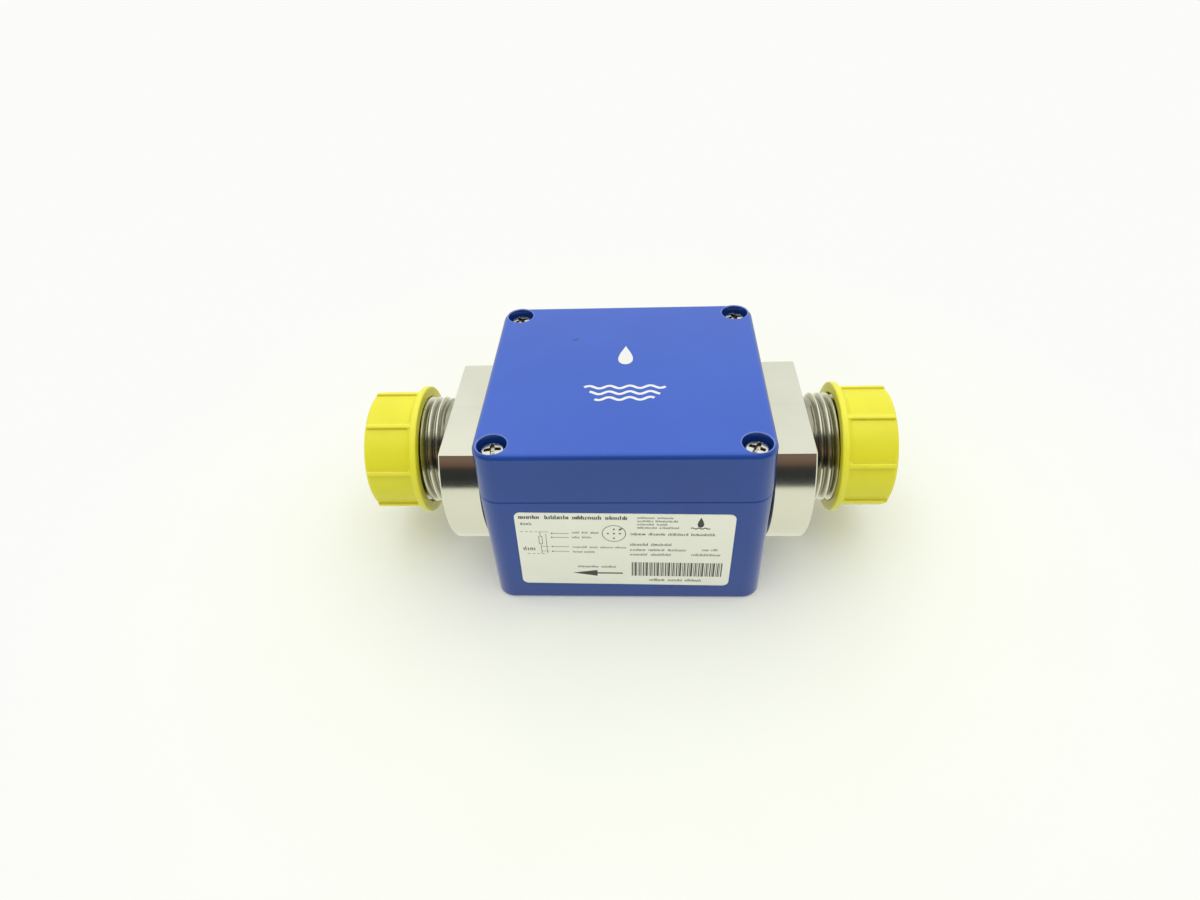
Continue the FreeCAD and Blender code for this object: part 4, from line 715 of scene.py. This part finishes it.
class Print:
    """Flat ink shapes gathered in one mesh; place() puts a point of the sheet into the world."""

    def __init__(self, place):
        self.work = bmesh.new()
        self.place = place

    def shape(self, points):
        self.work.faces.new([self.work.verts.new(self.place(u, w)) for u, w in points])

    def bar(self, u0, w0, u1, w1):
        self.shape([(u0, w0), (u1, w0), (u1, w1), (u0, w1)])

    def stroke(self, points, width):
        """A line of constant width through the points, with mitred bends."""
        sides = []
        for index, (u, w) in enumerate(points):
            before, after = points[max(index - 1, 0)], points[min(index + 1, len(points) - 1)]
            direction = Vector((after[0] - before[0], after[1] - before[1])).normalized()
            across = Vector((-direction.y, direction.x)) * width / 2
            sides.append(((u + across.x, w + across.y), (u - across.x, w - across.y)))
        for first, second in zip(sides, sides[1:]):
            self.shape([first[1], second[1], second[0], first[0]])

    def ring(self, u, w, outer, inner=0.0, steps=40):
        """A flat ring, or a disc where there is no inner radius."""
        def at(radius, step):
            angle = 2 * math.pi * step / steps
            return u + radius * math.cos(angle), w + radius * math.sin(angle)

        for step in range(steps):
            near = [at(inner, step + 1), at(inner, step)] if inner else [(u, w)]
            self.shape([at(outer, step), at(outer, step + 1)] + near)

    def drop(self, u, w, size):
        """A drop with its point upwards, size being half its height."""
        outline = []
        for step in range(40):
            angle = 2 * math.pi * step / 40
            across = 0.633 * size * math.sin(angle) * abs(math.sin(angle / 2)) ** 1.5
            outline.append((u + across, w + size * math.cos(angle)))
        for first, second in zip(outline, outline[1:] + outline[:1]):
            self.shape([(u, w - 0.37 * size), first, second])

    def rules(self, u0, u1, w, height, words, seed, weight=0.19):
        """A line of fine print: short upright marks, grouped like words, that spell nothing."""
        chance = random.Random(seed)
        lengths = [chance.uniform(0.7, 1.3) for _ in range(words)]
        gap = height * 0.70
        unit = (u1 - u0 - gap * (words - 1)) / sum(lengths)
        start, low = u0, w - height / 2
        for length in lengths:
            end, position = start + length * unit, start
            while position < end - weight * height:
                tall = chance.choice((0.70, 0.70, 0.70, 1.0)) * height
                step = chance.uniform(0.30, 0.46) * height
                side = position + weight * height
                self.bar(position, low, side, low + tall)
                if chance.random() < 0.62 and position + step < end:
                    level = low + chance.choice((0.0, 0.30, 0.58)) * height
                    self.bar(side, level, position + step, level + 0.11 * height)
                position += step
            start = end + gap

    def finish(self, name, material, slot=None):
        bmesh.ops.recalc_face_normals(self.work, faces=self.work.faces)
        return finish_mesh(name, self.work, material, "root")


def make_label_print():
    dark, grey = Print(on_label), Print(on_label)
    # lines of fine print: start, end, level, height, words, seed of their random marks
    for ink, *line in (
        (dark, -29.1, 1.0, 13.35, 1.50, 4, 11, 0.24), (grey, -28.8, -25.5, 10.7, 1.10, 1, 12),
        (grey, 3.5, 13.4, 13.5, 0.80, 2, 20), (grey, 3.5, 14.6, 12.2, 0.80, 2, 21),
        (grey, 3.5, 11.8, 10.9, 0.80, 2, 22), (grey, 3.5, 15.2, 9.6, 0.80, 2, 23),
        (dark, 1.7, 25.1, 7.0, 1.05, 4, 31), (dark, 1.5, 13.1, 2.7, 1.05, 2, 32),
        (grey, 1.5, 17.4, 0.45, 1.00, 3, 33), (grey, 21.8, 26.2, 0.7, 1.00, 2, 34),
        (grey, 1.5, 13.2, -1.55, 1.00, 2, 35), (grey, 18.9, 27.2, -1.45, 1.00, 1, 36),
        (grey, -13.6, -2.6, -7.05, 0.95, 2, 37), (grey, 7.2, 22.4, -12.75, 1.10, 3, 38),
    ):
        ink.rules(*line)
    # contacts of the receptacle
    plug_u, plug_w = -2.95, 7.05
    dark.ring(plug_u, plug_w, 3.35, 3.15, 48)
    for u, w in ((0, 1.75), (-1.68, 0), (0, 0), (1.68, 0), (0, -1.9)):
        dark.ring(plug_u + u, plug_w + w, 0.30, 0.0, 16)
    dark.stroke([(-1.55, 8.45), (-0.75, 9.15)], 0.55)
    # leads
    for start, w in ((-20.3, 6.9), (-20.4, 5.25), (-20.5, 1.35), (-20.5, -0.65)):
        dark.stroke([(start, w), (start + 4.8, w)], 0.16)
        dark.ring(start, w, 0.26, 0.0, 12)
    for line in ((-14.7, -7.1, 7.35, 0.80, 3, 50), (-14.7, -9.2, 5.4, 0.80, 2, 51),
                 (-14.7, 0.6, 1.3, 0.80, 4, 52), (-14.7, -8.5, -0.7, 0.80, 2, 53)):
        grey.rules(*line)
    # broken lines of the sensor's outline, and the wires inside it
    for dash in range(4):
        dark.bar(-29.1 + 1.35 * dash, 7.35, -28.3 + 1.35 * dash, 7.5)
        dark.bar(-27.7 + 1.35 * dash, -1.85, -26.9 + 1.35 * dash, -1.7)
    for wire in ([(-24.0, 7.4), (-21.2, 7.4)], [(-23.6, 7.4), (-23.6, 5.6)],
                 [(-23.6, 2.5), (-23.6, -1.6)], [(-22.0, 6.6), (-22.0, -1.6)],
                 [(-23.6, 1.4), (-21.4, 1.4)], [(-23.6, -0.6), (-21.4, -0.6)]):
        dark.stroke(wire, 0.14)
    # resistor
    for side in ([(-24.05, 5.6), (-23.15, 5.6)], [(-24.05, 2.5), (-23.15, 2.5)],
                 [(-24.05, 5.6), (-24.05, 2.5)], [(-23.15, 5.6), (-23.15, 2.5)]):
        dark.stroke(side, 0.16)
    grey.rules(-28.8, -24.9, 0.45, 1.60, 1, 60)
    # plain sign for a liquid
    dark.drop(20.8, 11.9, 2.0)
    wave = [(18.2 + 5.2 * step / 24, 9.5 + 0.22 * math.sin(step * math.pi / 4))
            for step in range(25)]
    dark.stroke(wave, 0.36)
    # flow arrow
    dark.shape([(-15.2, -10.0), (-8.0, -11.3), (-8.0, -8.7)])
    dark.stroke([(-8.1, -10.0), (-0.6, -9.95)], 0.55)
    # plain bars, evenly repeated, that hold no number
    u, index = 2.0, 0
    widths, gaps = (0.34, 0.17, 0.51, 0.17, 0.34, 0.17), (0.24, 0.17, 0.34)
    while u < 27.7:
        width = widths[index % len(widths)]
        dark.bar(u, -11.0, u + width, -5.0)
        u += width + gaps[index % len(gaps)]
        index += 1
    dark.finish("label_print_dark", DARK_INK, "label_film")
    grey.finish("label_print_grey", GREY_INK, "label_film")


make_label_print()


# ---------------------------------------------------------------- pictogram on the lid
def on_lid(x, y):
    return Vector((x, y, LID_TOP + INK_LIFT))


def make_lid_print():
    """A drop over three waves, the plain sign for a liquid."""
    ink = Print(on_lid)
    ink.drop(0.0, 8.6, 4.9)
    for row, level in enumerate((-7.6, -10.3, -13.0)):
        reach, height, length = 11.5 - 1.6 * row, 0.62, 5.75
        across = [-reach + 2 * reach * step / 48 for step in range(49)]
        ink.stroke([(x, level + height * math.sin(x * 2 * math.pi / length)) for x in across], 0.95)
    ink.finish("lid_pictogram", WHITE_INK, "blue_paint")
    scuff = Print(on_lid)
    scuff.stroke([(-16.4, 16.9), (-15.8, 17.1), (-15.1, 17.6), (-14.7, 18.1)], 0.42)
    scuff.finish("lid_scuff", DARK_INK, "blue_paint")


make_lid_print()


# ---------------------------------------------------------------- camera
def make_camera():
    """The camera stands where the box's edges and the pipe's ends put it."""
    data = bpy.data.cameras.new("camera")
    data.sensor_fit = "HORIZONTAL"
    data.sensor_width = 36.0
    data.lens = 22.705
    data.clip_start = 0.01
    data.clip_end = 50.0
    camera = bpy.data.objects.new("camera", data)
    bpy.context.scene.collection.objects.link(camera)
    tilt, yaw, roll = 0.7121, 0.0601, -0.0067
    origin_seen = mm(9.844, 20.343, 256.721)
    base = Matrix(((1, 0, 0), (0, 0, -1), (0, 1, 0)))
    turned = (Matrix.Rotation(roll, 3, "Z") @ Matrix.Rotation(yaw, 3, "Y")
              @ Matrix.Rotation(tilt, 3, "X") @ base)
    across, down, ahead = turned[0], turned[1], turned[2]
    position = -(turned.transposed() @ origin_seen)
    camera.matrix_world = Matrix((
        (across.x, -down.x, -ahead.x, position.x),
        (across.y, -down.y, -ahead.y, position.y),
        (across.z, -down.z, -ahead.z, position.z),
        (0, 0, 0, 1),
    ))
    bpy.context.scene.camera = camera


make_camera()


# ---------------------------------------------------------------- floor, lamps and world
def make_floor():
    """Pale table: it pales outwards for the camera; reflections see it even, dark far in front."""
    mesh = bpy.data.meshes.new("floor")
    half, low = 3.0, -5e-5
    corners = [(-half, -half, low), (half, -half, low), (half, half, low), (-half, half, low)]
    mesh.from_pydata(corners, [], [(0, 1, 2, 3)])
    floor = bpy.data.objects.new("floor", mesh)
    bpy.context.scene.collection.objects.link(floor)
    look = Look("pale_floor", (0.840, 0.860, 0.772), 0.55)
    look.set("Specular IOR Level", 0.25)
    grain = look.noise(300.0, 3.0)
    cloud = look.noise(14.0, 3.0)
    path = look.nodes.new("ShaderNodeLightPath").outputs
    to_camera, to_gloss = path["Is Camera Ray"], path["Is Glossy Ray"]
    seen = look.blend_colours(look.spread(cloud), (0.832, 0.852, 0.762), (0.852, 0.870, 0.785))
    look.colour(look.blend_colours(to_camera, (0.800, 0.825, 0.735), seen))
    look.roughness(look.spread(grain, 0.48, 0.62))
    look.bump(grain, 0.01, 0.2)

    def glow(factor, under, colour):
        """Mix a plain emission over a shader."""
        emission = look.nodes.new("ShaderNodeEmission")
        emission.inputs["Color"].default_value = (*colour, 1.0)
        mixer = look.nodes.new("ShaderNodeMixShader")
        look.links.new(factor, mixer.inputs["Fac"])
        look.links.new(under, mixer.inputs[1])
        look.links.new(emission.outputs["Emission"], mixer.inputs[2])
        return mixer.outputs["Shader"]

    distance = look.nodes.new("ShaderNodeVectorMath")
    distance.operation = "LENGTH"
    look.links.new(look.place, distance.inputs[0])
    far = look.remap(distance.outputs["Value"], 0.09, 0.20, 0.18, 0.95)
    shader = glow(look.maths("MULTIPLY", far, to_camera), look.shader.outputs["BSDF"],
                  (0.972, 0.975, 0.965))
    shader = glow(look.maths("MULTIPLY", to_gloss, 0.80), shader, (1.0, 1.0, 0.87))
    beyond = look.remap(look.split(look.place)["Y"], -0.19, -0.24, 0.0, 1.0)
    shader = glow(look.maths("MULTIPLY", beyond, to_gloss), shader, (0.05, 0.055, 0.055))
    look.links.new(shader, look.nodes["Material Output"].inputs["Surface"])
    mesh.materials.append(look.material)


def make_lamp(name, place, target, size, watts, colour):
    data = bpy.data.lights.new(name, "AREA")
    data.shape = "RECTANGLE"
    data.size, data.size_y = size
    data.energy = watts
    data.color = colour
    lamp = bpy.data.objects.new(name, data)
    lamp.location = place
    lamp.rotation_euler = (Vector(target) - Vector(place)).to_track_quat("-Z", "Y").to_euler()
    bpy.context.scene.collection.objects.link(lamp)


def make_world():
    """Even light; in reflections a dark, brownish room stands low in front of the object."""
    world = bpy.data.worlds.new("room")
    bpy.context.scene.world = world
    world.use_nodes = True
    tree = Nodes(world.node_tree)
    background = tree.nodes["Background"]

    def ramp(value, stops):
        node = tree.nodes.new("ShaderNodeValToRGB")
        while len(node.color_ramp.elements) < len(stops):
            node.color_ramp.elements.new(0.5)
        for element, (position, colour) in zip(node.color_ramp.elements, stops):
            element.position = position
            element.color = (*colour, 1.0)
        tree.links.new(value, node.inputs["Fac"])
        return node.outputs["Color"]

    direction = tree.split(tree.nodes.new("ShaderNodeTexCoord").outputs["Generated"])
    path = tree.nodes.new("ShaderNodeLightPath").outputs
    height = tree.maths("ADD", direction["Z"], 0.0, clamp=True)
    room = ramp(height, [
        (0.0, (0.035, 0.038, 0.040)), (0.24, (0.035, 0.037, 0.036)), (0.33, (0.18, 0.11, 0.08)),
        (0.47, (0.24, 0.16, 0.12)), (0.60, (0.10, 0.09, 0.08)), (0.86, (0.10, 0.10, 0.10)),
        (0.94, (0.95, 0.96, 0.90)),
    ])
    ahead = tree.maths("MULTIPLY", direction["Y"], -1.0, clamp=True)
    front = tree.maths("MULTIPLY", tree.maths("ADD", ahead, -0.12, clamp=True), 4.0, clamp=True)
    seen = tree.blend_colours(front, (0.98, 0.99, 0.93), room)
    sky = tree.remap(direction["Z"], 0.40, 0.80, 0.42, 1.53, eased=True)
    tint = tree.nodes.new("ShaderNodeVectorMath")
    tint.operation = "SCALE"
    tint.inputs[0].default_value = (1.0, 1.0, 0.975)
    tree.links.new(sky, tint.inputs["Scale"])
    lit = tree.blend_colours(path["Is Glossy Ray"], tint.outputs["Vector"], seen)
    colour = tree.blend_colours(path["Is Camera Ray"], lit, (0.965, 0.97, 0.96))
    tree.links.new(colour, background.inputs["Color"])
    background.inputs["Strength"].default_value = 1.0


make_floor()
make_lamp("overhead", place=(0.10, 0.45, 1.7), target=(0.0, 0.0, 0.0), size=(2.6, 2.2), watts=3.0,
          colour=(1.0, 0.995, 0.97))
make_world()
bpy.context.scene.view_settings.view_transform = "Standard"
